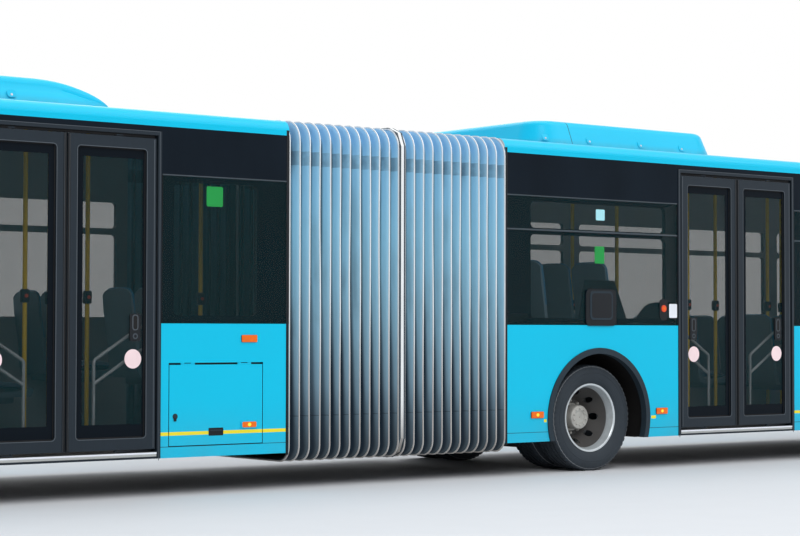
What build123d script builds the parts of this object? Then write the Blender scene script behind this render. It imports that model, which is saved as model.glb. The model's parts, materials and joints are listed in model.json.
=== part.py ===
"""Low-floor articulated city bus, right-hand kerb side, modelled in millimetres.

+X runs forward, +Y to the left and +Z up. The origin is on the ground, at the
middle of the bus's length and width. The bus stands straight.
"""
import math
import os

from build123d import *

# Overall sizes; the other lengths add up from the bays, doors and arches
WIDTH = 2500
WHEELBASE_FRONT = 5875
SKIRT_Z = 280
EAVES_Z = 2760
COVE_R = 80
CROWN_RISE = 50
WALL = 50
NOSE_BOW = 90
NOSE_CORNER_R = 380
TAIL_CORNER_R = 140
MASK_PAST_CORNER = 90
TAIL_PAST_CORNER = 60
SCREEN_LEAN = 150
SCREEN_LEAN_Z = 1050
BROW_R = 110
BROW_RISE = 4
COVE_FLATTEN = 4
CREASE_MARGIN = 1
NOSE_MARGIN = 10

# Tyres and wheels
TYRE_R = 462
TYRE_W = 275
RIM_SEAT_R = 286
FLANGE_R = 298
BARREL_R = 270
RIM_W = 220
TWIN_SPACING = 335
WHEEL_RECESS = 90
DISC_T = 12
HUB_R = 107
SPINDLE_R = 60
STUB_R = 40
PIN_CLEARANCE = 0.5
SEAT_GAP = 0.3

# Floor, wheel arches and wheel housings
FLOOR_T = 50
ARCH_R = TYRE_R + 98
HOUSING_R = ARCH_R + 40
HOUSING_T = 20
LIP_R = ARCH_R + 50
LIP_PROUD = 12
LIP_T = 30

# Distances between the arches' lips, the doors and the joint
DOOR_1_TO_ARCH = 70
ARCH_TO_DOOR_2 = 365
ARCH_TO_JOINT = 480
JOINT_TO_DOOR_3 = 1144
DOOR_3_TO_ARCH = 166

# Joint between the two sections
BELLOWS_LENGTH = 2200
BELLOWS_BOTTOM_Z = SKIRT_Z - 70
BELLOWS_TOP_Z = EAVES_Z + 90
BELLOWS_T = 25
BELLOWS_UNDER_T = 15
PLEAT_DEPTH = 65
PLEATS_PER_HALF = 11
BELLOWS_CORNER = 160
HOOP_HALF = 30
HOOP_PROUD = 12
HOOP_DEPTH = 110
TURNTABLE_R = 850
TURNTABLE_T = 40
RING_GAP = 6
CARRIER_R = 560
CARRIER_T = 59
ARM_WIDTH = 700
PASSAGE_TRIM = 620

# Windows
BELT_Z = 1270
GLASS_TOP_Z = EAVES_Z - 390
VENT_Z = GLASS_TOP_Z - 303
CLEAR_BOTTOM_Z = BELT_Z + 60
CLEAR_TOP_Z = GLASS_TOP_Z - 52
VENT_BAR = 27
GLASS_T = 8
PANE_GAP = 8
PANE_CORNER_R = 40

# Doors with leaves that swing inward on turning posts
DOOR_W = 1560
FRONT_DOOR_W = 1400
MASK_TO_DOOR_1 = 60
DOOR_FRAME = 30
PORTAL_PROUD = 6
PORTAL_TOP_Z = EAVES_Z - 110
LEAF_T = 40
LEAF_GAP = 15
LEAF_MEET_GAP = 10
STILE_W = 80
RAIL_W = 85
LEAF_PANE_R = 25
PANE_T = 8
POST_R = 20
POST_BEHIND_PORTAL = 20
POST_INSET = 80
ARM_T = 10
ARM_W = 30
ARM_GAP = 6
HINGE_PIN_R = 8
LEAF_TAIL = 60
RAIL_TUBE_R = 12.5
RAIL_PROUD = 60
RAIL_REACH = 150
RAIL_BEND_R = 40
RAIL_TOP_Z = 1250
RAIL_FALL = 250
RAIL_SPACING = 170
PANE_DEPTH = 22
GRIP_SIZE = (90, 200)
GRIP_R = 18
GRIP_Z = 1240
GRIP_INSET = 85
GRIP_PROUD = 14

# Saloon fittings
SEAT_W = 430
SEAT_DEPTH = 430
CUSHION_T = 90
BACK_T = 70
BACK_H = 600
BACK_LEAN = 60
BACK_CORNER_R = 70
SEAT_PAIR_GAP = 20
SEAT_WALL_GAP = 30
SEAT_PITCH = 800
SEAT_LOW_Z = 780
POLE_R = 17.5

# Engine bay behind the rear axle
BAY_LENGTH = 1490
BAY_TOP_Z = 1100
BAY_T = 20
HOUSING_TO_BAY = 325

MASK_DEPTH = NOSE_CORNER_R + NOSE_BOW + MASK_PAST_CORNER
TAIL_DEPTH = TAIL_CORNER_R + TAIL_PAST_CORNER
FRONT_DOOR_SETBACK = MASK_DEPTH + MASK_TO_DOOR_1
FRONT_OVERHANG = FRONT_DOOR_SETBACK + FRONT_DOOR_W + DOOR_1_TO_ARCH + LIP_R
JOINT_OVERHANG = LIP_R + ARCH_TO_JOINT
WHEELBASE_REAR = (JOINT_OVERHANG + BELLOWS_LENGTH + JOINT_TO_DOOR_3 + DOOR_W + DOOR_3_TO_ARCH
                  + LIP_R)
BAY_SETBACK = HOUSING_R + HOUSING_T + HOUSING_TO_BAY
REAR_OVERHANG = BAY_SETBACK + BAY_LENGTH + TAIL_DEPTH
LENGTH = FRONT_OVERHANG + WHEELBASE_FRONT + WHEELBASE_REAR + REAR_OVERHANG

NOSE_X = LENGTH / 2
TAIL_X = -LENGTH / 2
FRONT_AXLE_X = NOSE_X - FRONT_OVERHANG
MIDDLE_AXLE_X = FRONT_AXLE_X - WHEELBASE_FRONT
REAR_AXLE_X = MIDDLE_AXLE_X - WHEELBASE_REAR
FRONT_END_X = MIDDLE_AXLE_X - JOINT_OVERHANG
PIVOT_X = FRONT_END_X - BELLOWS_LENGTH / 2
REAR_END_X = FRONT_END_X - BELLOWS_LENGTH
MASK_X = NOSE_X - MASK_DEPTH
TAIL_JOINT_X = TAIL_X + TAIL_DEPTH
HALF_W = WIDTH / 2
INNER_W = HALF_W - WALL
CROWN_Z = EAVES_Z + COVE_R + CROWN_RISE
FLOOR_BOTTOM = SKIRT_Z
FLOOR_TOP = FLOOR_BOTTOM + FLOOR_T
AXLE_Z = TYRE_R
WHEEL_FACE_Y = HALF_W - WHEEL_RECESS
SINGLE_Y = WHEEL_FACE_Y - TYRE_W / 2
TWIN_Y = WHEEL_FACE_Y - TYRE_W / 2 - TWIN_SPACING / 2
HOUSING_INNER_STEERED = SINGLE_Y - 492.5
HOUSING_INNER_TWIN = TWIN_Y - 425

# Each door: name, rear edge and front edge of its frame
DOOR_2_REAR_X = MIDDLE_AXLE_X + LIP_R + ARCH_TO_DOOR_2
DOOR_3_FRONT_X = REAR_END_X - JOINT_TO_DOOR_3
DOORS = [
    ("door1", NOSE_X - FRONT_DOOR_SETBACK - FRONT_DOOR_W, NOSE_X - FRONT_DOOR_SETBACK),
    ("door2", DOOR_2_REAR_X, DOOR_2_REAR_X + DOOR_W),
    ("door3", DOOR_3_FRONT_X - DOOR_W, DOOR_3_FRONT_X),
]

# The service flap in the rear section's right wall, measured from the bellows end
FLAP_REAR_X = DOOR_3_FRONT_X + 70
FLAP_FRONT_X = REAR_END_X - 238
FLAP_BOTTOM_Z = SKIRT_Z + 81
FLAP_TOP_Z = BELT_Z - 292
FLAP_T = 30
FLAP_GAP = 6

# The engine lid in the tail
LID_HALF_W = HALF_W - 260
LID_BOTTOM_Z = SKIRT_Z + 150
LID_TOP_Z = BELT_Z - 130
LID_T = 40
LID_GAP = 8
LOUVRES = 9
LOUVRE_SIZE = (760, 22)
LOUVRE_PITCH = 45

# Barrel hinges of the lid and the flap, just under the panel above them
BARREL_HINGE_R = 6
BARREL_INSET = 7
BARREL_RISE = 4
BARREL_TOP_GAP = 15
BARREL_LENGTH = 60
BARREL_PLACES = (0.2, 0.8)

# Engine block in its bay
BAY_FRONT_X = REAR_AXLE_X - BAY_SETBACK
ENGINE_CLEARANCE = 120
ENGINE_SIZE = (BAY_LENGTH - 2 * ENGINE_CLEARANCE, 800, 700)
ENGINE_Y = 150

os.makedirs("parts", exist_ok=True)
finished = []


def save(shape, name):
    """Label a finished piece and write it as one STEP file."""
    shape.label = name
    export_step(shape, f"parts/{name}.step")
    finished.append(name)


def box_between(low, high, mode=Mode.ADD):
    """A box from its lowest corner to its highest, in the open part."""
    centre = [(a + b) / 2 for a, b in zip(low, high)]
    size = [b - a for a, b in zip(low, high)]
    with Locations(tuple(centre)):
        Box(*size, mode=mode)


def rectangle_between(low, high, mode=Mode.ADD):
    """A rectangle from its lowest corner to its highest, in the open sketch."""
    with Locations(((low[0] + high[0]) / 2, (low[1] + high[1]) / 2)):
        Rectangle(high[0] - low[0], high[1] - low[1], mode=mode)


def hinge_barrels(start, end, length, radius, shifts=(0,), mode=Mode.ADD):
    """Barrels on the line from start to end, each shifted along it by the given steps."""
    along = (Vector(end) - Vector(start))
    for share in BARREL_PLACES:
        for shift in shifts:
            centre = Vector(start) + along * share + along.normalized() * shift
            place = Plane(origin=centre, z_dir=along).location
            with Locations(place):
                Cylinder(radius, length, mode=mode)


PANEL_BARREL_SHIFT = BARREL_LENGTH * 0.75 + SEAT_GAP
PANEL_BARRELS = (-PANEL_BARREL_SHIFT, PANEL_BARREL_SHIFT)


# Outer body form

def envelope(inset):
    """The whole body's outer form, brought in by inset on every side but below."""
    with BuildPart() as body:
        with BuildSketch(Plane.XY.offset(SKIRT_Z)) as plan:
            with BuildLine():
                Polyline((NOSE_X - NOSE_BOW, -HALF_W), (TAIL_X, -HALF_W),
                         (TAIL_X, HALF_W), (NOSE_X - NOSE_BOW, HALF_W))
                ThreePointArc((NOSE_X - NOSE_BOW, HALF_W), (NOSE_X, 0),
                              (NOSE_X - NOSE_BOW, -HALF_W))
            make_face()
            fillet(plan.vertices().group_by(Axis.X)[0], TAIL_CORNER_R)
            fillet(plan.vertices().group_by(Axis.X)[-1], NOSE_CORNER_R)
            if inset:
                offset(amount=-inset, kind=Kind.INTERSECTION)
        extrude(amount=CROWN_Z)
        with BuildSketch(Plane.YZ.offset(TAIL_X - CREASE_MARGIN)):
            with BuildLine():
                section_outline(inset, past_side=True)
            make_face()
        extrude(amount=LENGTH + 2 * CREASE_MARGIN, mode=Mode.INTERSECT)
        with BuildSketch(Plane.XZ.offset(-HALF_W - CREASE_MARGIN)) as side:
            brow_z = CROWN_Z + BROW_RISE - inset
            back_x = TAIL_X + inset - CREASE_MARGIN
            front_x = NOSE_X + NOSE_MARGIN - inset
            lean_z = SCREEN_LEAN_Z - NOSE_MARGIN * (brow_z - SCREEN_LEAN_Z) / SCREEN_LEAN
            with BuildLine():
                Polyline((back_x, 0), (front_x, 0), (front_x, lean_z),
                         (NOSE_X - SCREEN_LEAN - inset, brow_z), (back_x, brow_z), close=True)
            make_face()
            fillet(side.vertices().group_by(Axis.Y)[-1], BROW_R - inset)
        extrude(amount=WIDTH + 2 * CREASE_MARGIN, mode=Mode.INTERSECT)
    return body.part


def section_outline(inset, past_side=False):
    """Cross-section outline: upright sides, a rounded cove and a crowned roof."""
    side_y = HALF_W - inset
    cove_r = COVE_R - min(inset, COVE_R - 20)
    shoulder_y = side_y - cove_r
    shoulder_z = EAVES_Z + COVE_R - inset
    eaves_z = shoulder_z - cove_r
    bulge = (cove_r - COVE_FLATTEN) * math.sqrt(0.5)
    corner = (shoulder_y + bulge, eaves_z + bulge)
    if past_side:
        centre = (cove_r ** 2 - 2 * bulge ** 2) / (2 * cove_r - 4 * bulge)
        side_y = shoulder_y + centre + math.sqrt(2) * (bulge - centre)
        eaves_z += centre
    Line((side_y, 0), (side_y, eaves_z))
    ThreePointArc((side_y, eaves_z), corner, (shoulder_y, shoulder_z))
    ThreePointArc((shoulder_y, shoulder_z), (0, CROWN_Z - inset), (-shoulder_y, shoulder_z))
    ThreePointArc((-shoulder_y, shoulder_z), (-corner[0], corner[1]), (-side_y, eaves_z))
    Line((-side_y, eaves_z), (-side_y, 0))
    Line((-side_y, 0), (side_y, 0))


def roof_inner_z(y):
    """Height of the ceiling above the floor's plane at a distance y from the middle."""
    shoulder_y = INNER_W - (COVE_R - min(WALL, COVE_R - 20))
    radius = (shoulder_y ** 2 + CROWN_RISE ** 2) / (2 * CROWN_RISE)
    return CROWN_Z - WALL - radius + math.sqrt(radius ** 2 - y ** 2)


outer_form = envelope(0)
glass_form = envelope(GLASS_T)
inner_form = envelope(WALL)


# Walls

def bays_between(x_rear, x_front, count, margin=110):
    """Equal window bays as (pane rear, pane front, clear rear, clear front, has a vent)."""
    pitch = (x_front - x_rear) / count
    edges = [x_rear + pitch * i for i in range(count + 1)]
    return [(a, b, a + margin, b - margin, True) for a, b in zip(edges, edges[1:])]


def clear_heights(has_vent):
    """Bottom and top of each see-through part of a window bay."""
    if has_vent:
        return ((CLEAR_BOTTOM_Z, VENT_Z - VENT_BAR), (VENT_Z + VENT_BAR, CLEAR_TOP_Z))
    return ((CLEAR_BOTTOM_Z, CLEAR_TOP_Z),)


def pane_heights(has_vent):
    """Bottom and top of each pane of a window bay."""
    if has_vent:
        return ((BELT_Z + SEAT_GAP, VENT_Z), (VENT_Z + PANE_GAP, GLASS_TOP_Z - SEAT_GAP))
    return ((BELT_Z + SEAT_GAP, GLASS_TOP_Z - SEAT_GAP),)


FLAP_HINGE_Z = FLAP_TOP_Z - BARREL_TOP_GAP + BARREL_RISE
FLAP_HINGE = ((FLAP_REAR_X, -HALF_W + BARREL_INSET, FLAP_HINGE_Z),
              (FLAP_FRONT_X, -HALF_W + BARREL_INSET, FLAP_HINGE_Z))
AXLE_BAY = (FRONT_END_X, DOOR_2_REAR_X, FRONT_END_X + 296, DOOR_2_REAR_X - 151, True)
JOINT_BAY = (DOOR_3_FRONT_X, REAR_END_X, DOOR_3_FRONT_X + 115, REAR_END_X - 293, False)
FRONT_RIGHT_BAYS = [AXLE_BAY] + bays_between(DOORS[1][2], DOORS[0][1], 3)
FRONT_LEFT_BAYS = bays_between(FRONT_END_X, MASK_X, 6)
REAR_RIGHT_BAYS = [JOINT_BAY] + bays_between(TAIL_JOINT_X, DOORS[2][1], 2)
REAR_LEFT_BAYS = bays_between(TAIL_JOINT_X, REAR_END_X, 4)


FILLER_SIZE = (360, 318)
FILLER_X = MIDDLE_AXLE_X + 10
FILLER_LOW_Z = BELT_Z - 6
FILLER_R = 40
FILLER_PROUD = 14
FILLER_BACK = 45
FILLER_GAP = 3


def filler_housing(grow, mode):
    """The filler's rounded housing, which stands through the pane over the middle axle."""
    with BuildSketch(Plane.XZ.offset(HALF_W + FILLER_PROUD)) as outline:
        with Locations((FILLER_X, FILLER_LOW_Z + FILLER_SIZE[1] / 2)):
            RectangleRounded(FILLER_SIZE[0] + 2 * grow, FILLER_SIZE[1] + 2 * grow,
                             FILLER_R + grow)
    extrude(outline.sketch, amount=-FILLER_PROUD - FILLER_BACK, mode=mode)


def door_portal(door_rear, door_front):
    """The frame that stands a little proud round a doorway in the right wall."""
    with BuildSketch(Plane.XZ.offset(HALF_W)) as portal:
        rectangle_between((door_rear, SKIRT_Z), (door_front, PORTAL_TOP_Z + DOOR_FRAME))
        rectangle_between((door_rear + DOOR_FRAME, SKIRT_Z),
                          (door_front - DOOR_FRAME, PORTAL_TOP_Z), mode=Mode.SUBTRACT)
    extrude(portal.sketch, amount=PORTAL_PROUD)


def side_wall(x_rear, x_front, side, doors, axles, bays, flap=False, filler=False):
    """One side wall of a section, with its doorways, wheel arches and windows cut."""
    high_y = -INNER_W if side < 0 else HALF_W
    outer_y = side * HALF_W
    with BuildPart() as wall:
        with BuildSketch(Plane.XZ.offset(-high_y)):
            rectangle_between((x_rear, SKIRT_Z), (x_front, EAVES_Z))
            for _, door_rear, door_front in doors:
                rectangle_between((door_rear + DOOR_FRAME, SKIRT_Z),
                                  (door_front - DOOR_FRAME, PORTAL_TOP_Z), mode=Mode.SUBTRACT)
            for axle_x in axles:
                with Locations((axle_x, AXLE_Z)):
                    Circle(ARCH_R, mode=Mode.SUBTRACT)
            for _, _, clear_rear, clear_front, has_vent in bays:
                for low_z, high_z in clear_heights(has_vent):
                    with Locations(((clear_rear + clear_front) / 2, (low_z + high_z) / 2)):
                        RectangleRounded(clear_front - clear_rear, high_z - low_z,
                                         PANE_CORNER_R, mode=Mode.SUBTRACT)
        extrude(amount=WALL)
        for pane_rear, pane_front, _, _, _ in bays:
            box_between((pane_rear + SEAT_GAP, min(outer_y, outer_y - side * GLASS_T), BELT_Z),
                        (pane_front - SEAT_GAP, max(outer_y, outer_y - side * GLASS_T),
                         GLASS_TOP_Z), mode=Mode.SUBTRACT)
        for axle_x in axles:
            arch_lip(axle_x, side)
        for _, door_rear, door_front in doors:
            door_portal(door_rear, door_front)
            for edge_x, outward in ((door_rear + DOOR_FRAME, -1), (door_front - DOOR_FRAME, 1)):
                post_x = edge_x + outward * POST_BEHIND_PORTAL
                box_between((post_x - 40, -INNER_W, PORTAL_TOP_Z + 50),
                            (post_x + 40, -HALF_W + POST_INSET + 40, PORTAL_TOP_Z + 70))
        if filler:
            filler_housing(0, Mode.ADD)
        if flap:
            box_between((FLAP_REAR_X, -HALF_W, FLAP_BOTTOM_Z),
                        (FLAP_FRONT_X, -HALF_W + FLAP_T + FLAP_GAP, FLAP_TOP_Z),
                        mode=Mode.SUBTRACT)
            hinge_barrels(*FLAP_HINGE, BARREL_LENGTH / 2, BARREL_HINGE_R, PANEL_BARRELS)
            for share in BARREL_PLACES:
                for shift in PANEL_BARRELS:
                    web_x = FLAP_REAR_X + (FLAP_FRONT_X - FLAP_REAR_X) * share + shift
                    box_between((web_x - BARREL_LENGTH / 4, -HALF_W + 3, FLAP_HINGE[0][2]),
                                (web_x + BARREL_LENGTH / 4, -HALF_W + 11, FLAP_TOP_Z))
    return wall.part


def arch_lip(axle_x, side):
    """The black moulded lip round a wheel arch, a little proud of the wall."""
    outer_y = side * (HALF_W + LIP_PROUD)
    high_y = max(outer_y, outer_y - side * LIP_T)
    with BuildSketch(Plane.XZ.offset(-high_y)) as ring:
        with Locations((axle_x, AXLE_Z)):
            Circle(LIP_R)
            Circle(ARCH_R, mode=Mode.SUBTRACT)
        rectangle_between((axle_x - LIP_R - 1, AXLE_Z - LIP_R - 1),
                          (axle_x + LIP_R + 1, SKIRT_Z), mode=Mode.SUBTRACT)
    extrude(ring.sketch, amount=LIP_T)


save(side_wall(FRONT_END_X, MASK_X, -1, DOORS[:2], (MIDDLE_AXLE_X, FRONT_AXLE_X),
               FRONT_RIGHT_BAYS, filler=True), "front_right_wall")
save(side_wall(FRONT_END_X, MASK_X, 1, [], (MIDDLE_AXLE_X, FRONT_AXLE_X),
               FRONT_LEFT_BAYS), "front_left_wall")
save(side_wall(TAIL_JOINT_X, REAR_END_X, -1, DOORS[2:], (REAR_AXLE_X,),
               REAR_RIGHT_BAYS, flap=True), "rear_right_wall")
save(side_wall(TAIL_JOINT_X, REAR_END_X, 1, [], (REAR_AXLE_X,), REAR_LEFT_BAYS),
     "rear_left_wall")


# Roofs, with the coves at their edges

HATCH_SIZE = (620, 560)
HATCH_RISE = 35
HATCH_R = 60


def roof(x_rear, x_front, hatches):
    """A crowned roof panel with its rounded coves and its hatches."""
    with BuildPart() as panel:
        with BuildSketch(Plane.YZ.offset(x_rear)):
            with BuildLine():
                section_outline(0)
            make_face()
            with BuildLine():
                section_outline(WALL)
            make_face(mode=Mode.SUBTRACT)
            rectangle_between((-HALF_W, 0), (HALF_W, EAVES_Z), mode=Mode.SUBTRACT)
        extrude(amount=x_front - x_rear)
        for hatch_x in hatches:
            with BuildSketch(Plane.XY.offset(CROWN_Z - WALL / 2)) as lid:
                with Locations((hatch_x, 0)):
                    RectangleRounded(*HATCH_SIZE, HATCH_R)
            extrude(lid.sketch, amount=WALL / 2 + HATCH_RISE, taper=20)
    return panel.part


FRONT_POD = (MIDDLE_AXLE_X - 460, MIDDLE_AXLE_X + 1890)
REAR_POD = (REAR_END_X - 3750, REAR_END_X - 1350)
save(roof(FRONT_END_X, MASK_X, (FRONT_POD[1] + 1100, FRONT_AXLE_X + 900)), "front_roof")
save(roof(TAIL_JOINT_X, REAR_END_X, (REAR_POD[1] + 650, REAR_POD[0] - 700)), "rear_roof")

POD_HALF_W = HALF_W - 300
POD_TOP_Z = CROWN_Z + 185
POD_CORNER_R = 300
POD_DRAFT = 22


def roof_pod(x_rear, x_front):
    """A low moulded equipment cover on the roof, with drafted sides."""
    with BuildPart() as pod:
        with BuildSketch(Plane.XY.offset(EAVES_Z + COVE_R)):
            with Locations(((x_rear + x_front) / 2, 0)):
                RectangleRounded(x_front - x_rear, 2 * POD_HALF_W, POD_CORNER_R)
        extrude(amount=POD_TOP_Z - EAVES_Z - COVE_R, taper=POD_DRAFT)
        fillet(pod.faces().sort_by(Axis.Z)[-1].edges(), 70)
        with BuildSketch(Plane.YZ.offset(x_rear)):
            with BuildLine():
                section_outline(-SEAT_GAP)
            make_face()
        extrude(amount=x_front - x_rear, mode=Mode.SUBTRACT)
    return pod.part


save(roof_pod(*FRONT_POD), "front_roof_pod")
save(roof_pod(*REAR_POD), "rear_roof_pod")


# Front mask, with the windscreen's opening, and the windscreen

SCREEN_BOTTOM_Z = BELT_Z - 250
SCREEN_TOP_Z = EAVES_Z - 80
SCREEN_FRAME = 55
SCREEN_BACK_X = MASK_X + 130
HEADLAMP_Y = (620, 1150)
HEADLAMP_Z = (560, 760)
HEADLAMP_R = 60


def screen_zone(grow):
    """The block that the windscreen covers, grown or shrunk all round."""
    with BuildPart() as zone:
        box_between((SCREEN_BACK_X - grow, -HALF_W - WALL, SCREEN_BOTTOM_Z - grow),
                    (NOSE_X + WALL, HALF_W + WALL, SCREEN_TOP_Z + grow))
    return zone.part


with BuildPart() as windscreen:
    add(outer_form)
    add(glass_form, mode=Mode.SUBTRACT)
    add(screen_zone(0), mode=Mode.INTERSECT)

with BuildPart() as headlamps:
    with BuildSketch(Plane.YZ.offset(MASK_X)):
        for side in (-1, 1):
            with Locations((side * sum(HEADLAMP_Y) / 2, sum(HEADLAMP_Z) / 2)):
                RectangleRounded(HEADLAMP_Y[1] - HEADLAMP_Y[0], HEADLAMP_Z[1] - HEADLAMP_Z[0],
                                 HEADLAMP_R)
    extrude(amount=MASK_DEPTH)
    add(outer_form, mode=Mode.INTERSECT)
    add(glass_form, mode=Mode.SUBTRACT)

TOW_Y = -500
TOW_Z = SKIRT_Z + 140
TOW_R = 20
TOW_BOSS_R = 40
TOW_FACE_X = NOSE_X - 25
TOW_LENGTH = 125
with BuildPart() as front_mask:
    add(outer_form)
    add(inner_form, mode=Mode.SUBTRACT)
    box_between((MASK_X, -HALF_W, SKIRT_Z), (NOSE_X, HALF_W, CROWN_Z), mode=Mode.INTERSECT)
    add(windscreen.part, mode=Mode.SUBTRACT)
    add(headlamps.part, mode=Mode.SUBTRACT)
    add(screen_zone(-SCREEN_FRAME), mode=Mode.SUBTRACT)
    for start_x, length, radius, mode in (
            (TOW_FACE_X - TOW_LENGTH, TOW_LENGTH, TOW_BOSS_R, Mode.ADD),
            (TOW_FACE_X, NOSE_X - TOW_FACE_X, TOW_BOSS_R, Mode.SUBTRACT),
            (TOW_FACE_X - TOW_LENGTH, TOW_LENGTH, TOW_R, Mode.SUBTRACT)):
        with Locations((start_x + length / 2, TOW_Y, TOW_Z)):
            Cylinder(radius, length, rotation=(0, 90, 0), mode=mode)
save(front_mask.part, "front_mask")


# Tail panel, with the rear window and the engine lid's opening

TAIL_LAMP_Y = (LID_HALF_W + 20, LID_HALF_W + 110)
TAIL_LAMP_Z = (SKIRT_Z + 340, SKIRT_Z + 840)
LAMP_T = 20
REAR_WINDOW_HALF_W = HALF_W - 350
REAR_WINDOW_Z = (BELT_Z + 230, GLASS_TOP_Z - 20)
LID_HINGE = ((TAIL_X + BARREL_INSET, -LID_HALF_W, LID_TOP_Z + BARREL_RISE),
             (TAIL_X + BARREL_INSET, LID_HALF_W, LID_TOP_Z + BARREL_RISE))
with BuildPart() as tail_panel:
    add(outer_form)
    add(inner_form, mode=Mode.SUBTRACT)
    box_between((TAIL_X, -HALF_W, SKIRT_Z), (TAIL_JOINT_X, HALF_W, CROWN_Z),
                mode=Mode.INTERSECT)
    box_between((TAIL_X, -LID_HALF_W - LID_GAP, LID_BOTTOM_Z - LID_GAP),
                (TAIL_X + WALL, LID_HALF_W + LID_GAP, LID_TOP_Z + BARREL_TOP_GAP),
                mode=Mode.SUBTRACT)
    hinge_barrels(*LID_HINGE, BARREL_LENGTH / 2, BARREL_HINGE_R, PANEL_BARRELS)
    for share in BARREL_PLACES:
        for shift in PANEL_BARRELS:
            web_y = LID_HINGE[0][1] + 2 * LID_HALF_W * share + shift
            box_between((TAIL_X + 3, web_y - BARREL_LENGTH / 4, LID_HINGE[0][2]),
                        (TAIL_X + 11, web_y + BARREL_LENGTH / 4, LID_TOP_Z + BARREL_TOP_GAP))
    box_between((TAIL_X, -REAR_WINDOW_HALF_W, REAR_WINDOW_Z[0]),
                (TAIL_X + GLASS_T, REAR_WINDOW_HALF_W, REAR_WINDOW_Z[1]), mode=Mode.SUBTRACT)
    box_between((TAIL_X, -REAR_WINDOW_HALF_W + SCREEN_FRAME, REAR_WINDOW_Z[0] + SCREEN_FRAME),
                (TAIL_X + WALL, REAR_WINDOW_HALF_W - SCREEN_FRAME,
                 REAR_WINDOW_Z[1] - SCREEN_FRAME), mode=Mode.SUBTRACT)
    for side in (-1, 1):
        low_y, high_y = sorted((side * TAIL_LAMP_Y[0], side * TAIL_LAMP_Y[1]))
        box_between((TAIL_X, low_y, TAIL_LAMP_Z[0]), (TAIL_X + LAMP_T, high_y, TAIL_LAMP_Z[1]),
                    mode=Mode.SUBTRACT)
save(tail_panel.part, "tail_panel")

LAMP_PROUD = 10
LAMP_SIZE = (140, 54)
LAMP_CORNER_R = 8
LOW_LAMP_Z = FLAP_BOTTOM_Z + 147
HIGH_LAMP_Z = BELT_Z - 113
REAR_LAMP_X = REAR_END_X - 367


def side_lamp(x, z, side, length=LAMP_SIZE[0], height=LAMP_SIZE[1]):
    """A small lamp with rounded corners on the side wall."""
    with BuildSketch(Plane.XZ.offset(-side * HALF_W)) as lens:
        with Locations((x, z)):
            RectangleRounded(length, height, LAMP_CORNER_R)
    extrude(lens.sketch, amount=-side * LAMP_PROUD)


with BuildPart() as engine_lid:
    box_between((TAIL_X, -LID_HALF_W, LID_BOTTOM_Z), (TAIL_X + LID_T, LID_HALF_W, LID_TOP_Z))
    hinge_barrels(*LID_HINGE, BARREL_LENGTH / 2 + 2, BARREL_HINGE_R + 2, PANEL_BARRELS,
                  mode=Mode.SUBTRACT)
    hinge_barrels(*LID_HINGE, BARREL_LENGTH, BARREL_HINGE_R)
    with BuildSketch(Plane.YZ.offset(TAIL_X)):
        with Locations((-LID_HALF_W / 2, (LID_BOTTOM_Z + LID_TOP_Z) / 2)):
            with GridLocations(0, LOUVRE_PITCH, 1, LOUVRES):
                Rectangle(*LOUVRE_SIZE)
    extrude(amount=LID_T, mode=Mode.SUBTRACT)
save(engine_lid.part, "engine_lid")

with BuildPart() as service_flap:
    box_between((FLAP_REAR_X + FLAP_GAP, -HALF_W, FLAP_BOTTOM_Z + FLAP_GAP),
                (FLAP_FRONT_X - FLAP_GAP, -HALF_W + FLAP_T, FLAP_TOP_Z - BARREL_TOP_GAP))
    hinge_barrels(*FLAP_HINGE, BARREL_LENGTH / 2 + 2, BARREL_HINGE_R + 2, PANEL_BARRELS,
                  mode=Mode.SUBTRACT)
    hinge_barrels(*FLAP_HINGE, BARREL_LENGTH, BARREL_HINGE_R)
    side_lamp(REAR_LAMP_X, LOW_LAMP_Z, -1)
save(service_flap.part, "service_flap")


# Glass panes, flush in their rebates

def side_panes(bays, side):
    """The lower pane and the vent pane of each window bay on one side."""
    outer_y = side * HALF_W
    low_y, high_y = sorted((outer_y, outer_y - side * GLASS_T))
    for pane_rear, pane_front, _, _, has_vent in bays:
        for low_z, high_z in pane_heights(has_vent):
            box_between((pane_rear + PANE_GAP, low_y, low_z),
                        (pane_front - PANE_GAP, high_y, high_z))


with BuildPart() as front_glass:
    side_panes(FRONT_RIGHT_BAYS, -1)
    filler_housing(FILLER_GAP, Mode.SUBTRACT)
    side_panes(FRONT_LEFT_BAYS, 1)
    add(windscreen.part)
save(front_glass.part, "front_glass")

with BuildPart() as rear_glass:
    side_panes(REAR_RIGHT_BAYS, -1)
    side_panes(REAR_LEFT_BAYS, 1)
    box_between((TAIL_X, -REAR_WINDOW_HALF_W + SEAT_GAP, REAR_WINDOW_Z[0] + SEAT_GAP),
                (TAIL_X + GLASS_T, REAR_WINDOW_HALF_W - SEAT_GAP,
                 REAR_WINDOW_Z[1] - SEAT_GAP))
save(rear_glass.part, "rear_glass")


# Floors with their wheel housings

def wheel_housing(axle_x, inner_y, side):
    """The tunnel over a wheel, closed on its inner side."""
    depth = INNER_W - inner_y
    high_y = -inner_y if side < 0 else INNER_W
    straight_z = AXLE_Z
    for radius, mode, start, length in (
            (HOUSING_R + HOUSING_T, Mode.ADD, high_y, depth),
            (HOUSING_R, Mode.SUBTRACT, high_y - (HOUSING_T if side < 0 else 0),
             depth - HOUSING_T)):
        with BuildSketch(Plane.XZ.offset(-start)) as tunnel:
            with Locations((axle_x, straight_z)):
                Circle(radius)
            rectangle_between((axle_x - radius, FLOOR_BOTTOM), (axle_x + radius, straight_z))
            rectangle_between((axle_x - radius - 1, AXLE_Z - radius - 1),
                              (axle_x + radius + 1, FLOOR_BOTTOM), mode=Mode.SUBTRACT)
        extrude(tunnel.sketch, amount=length, mode=mode)


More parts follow.
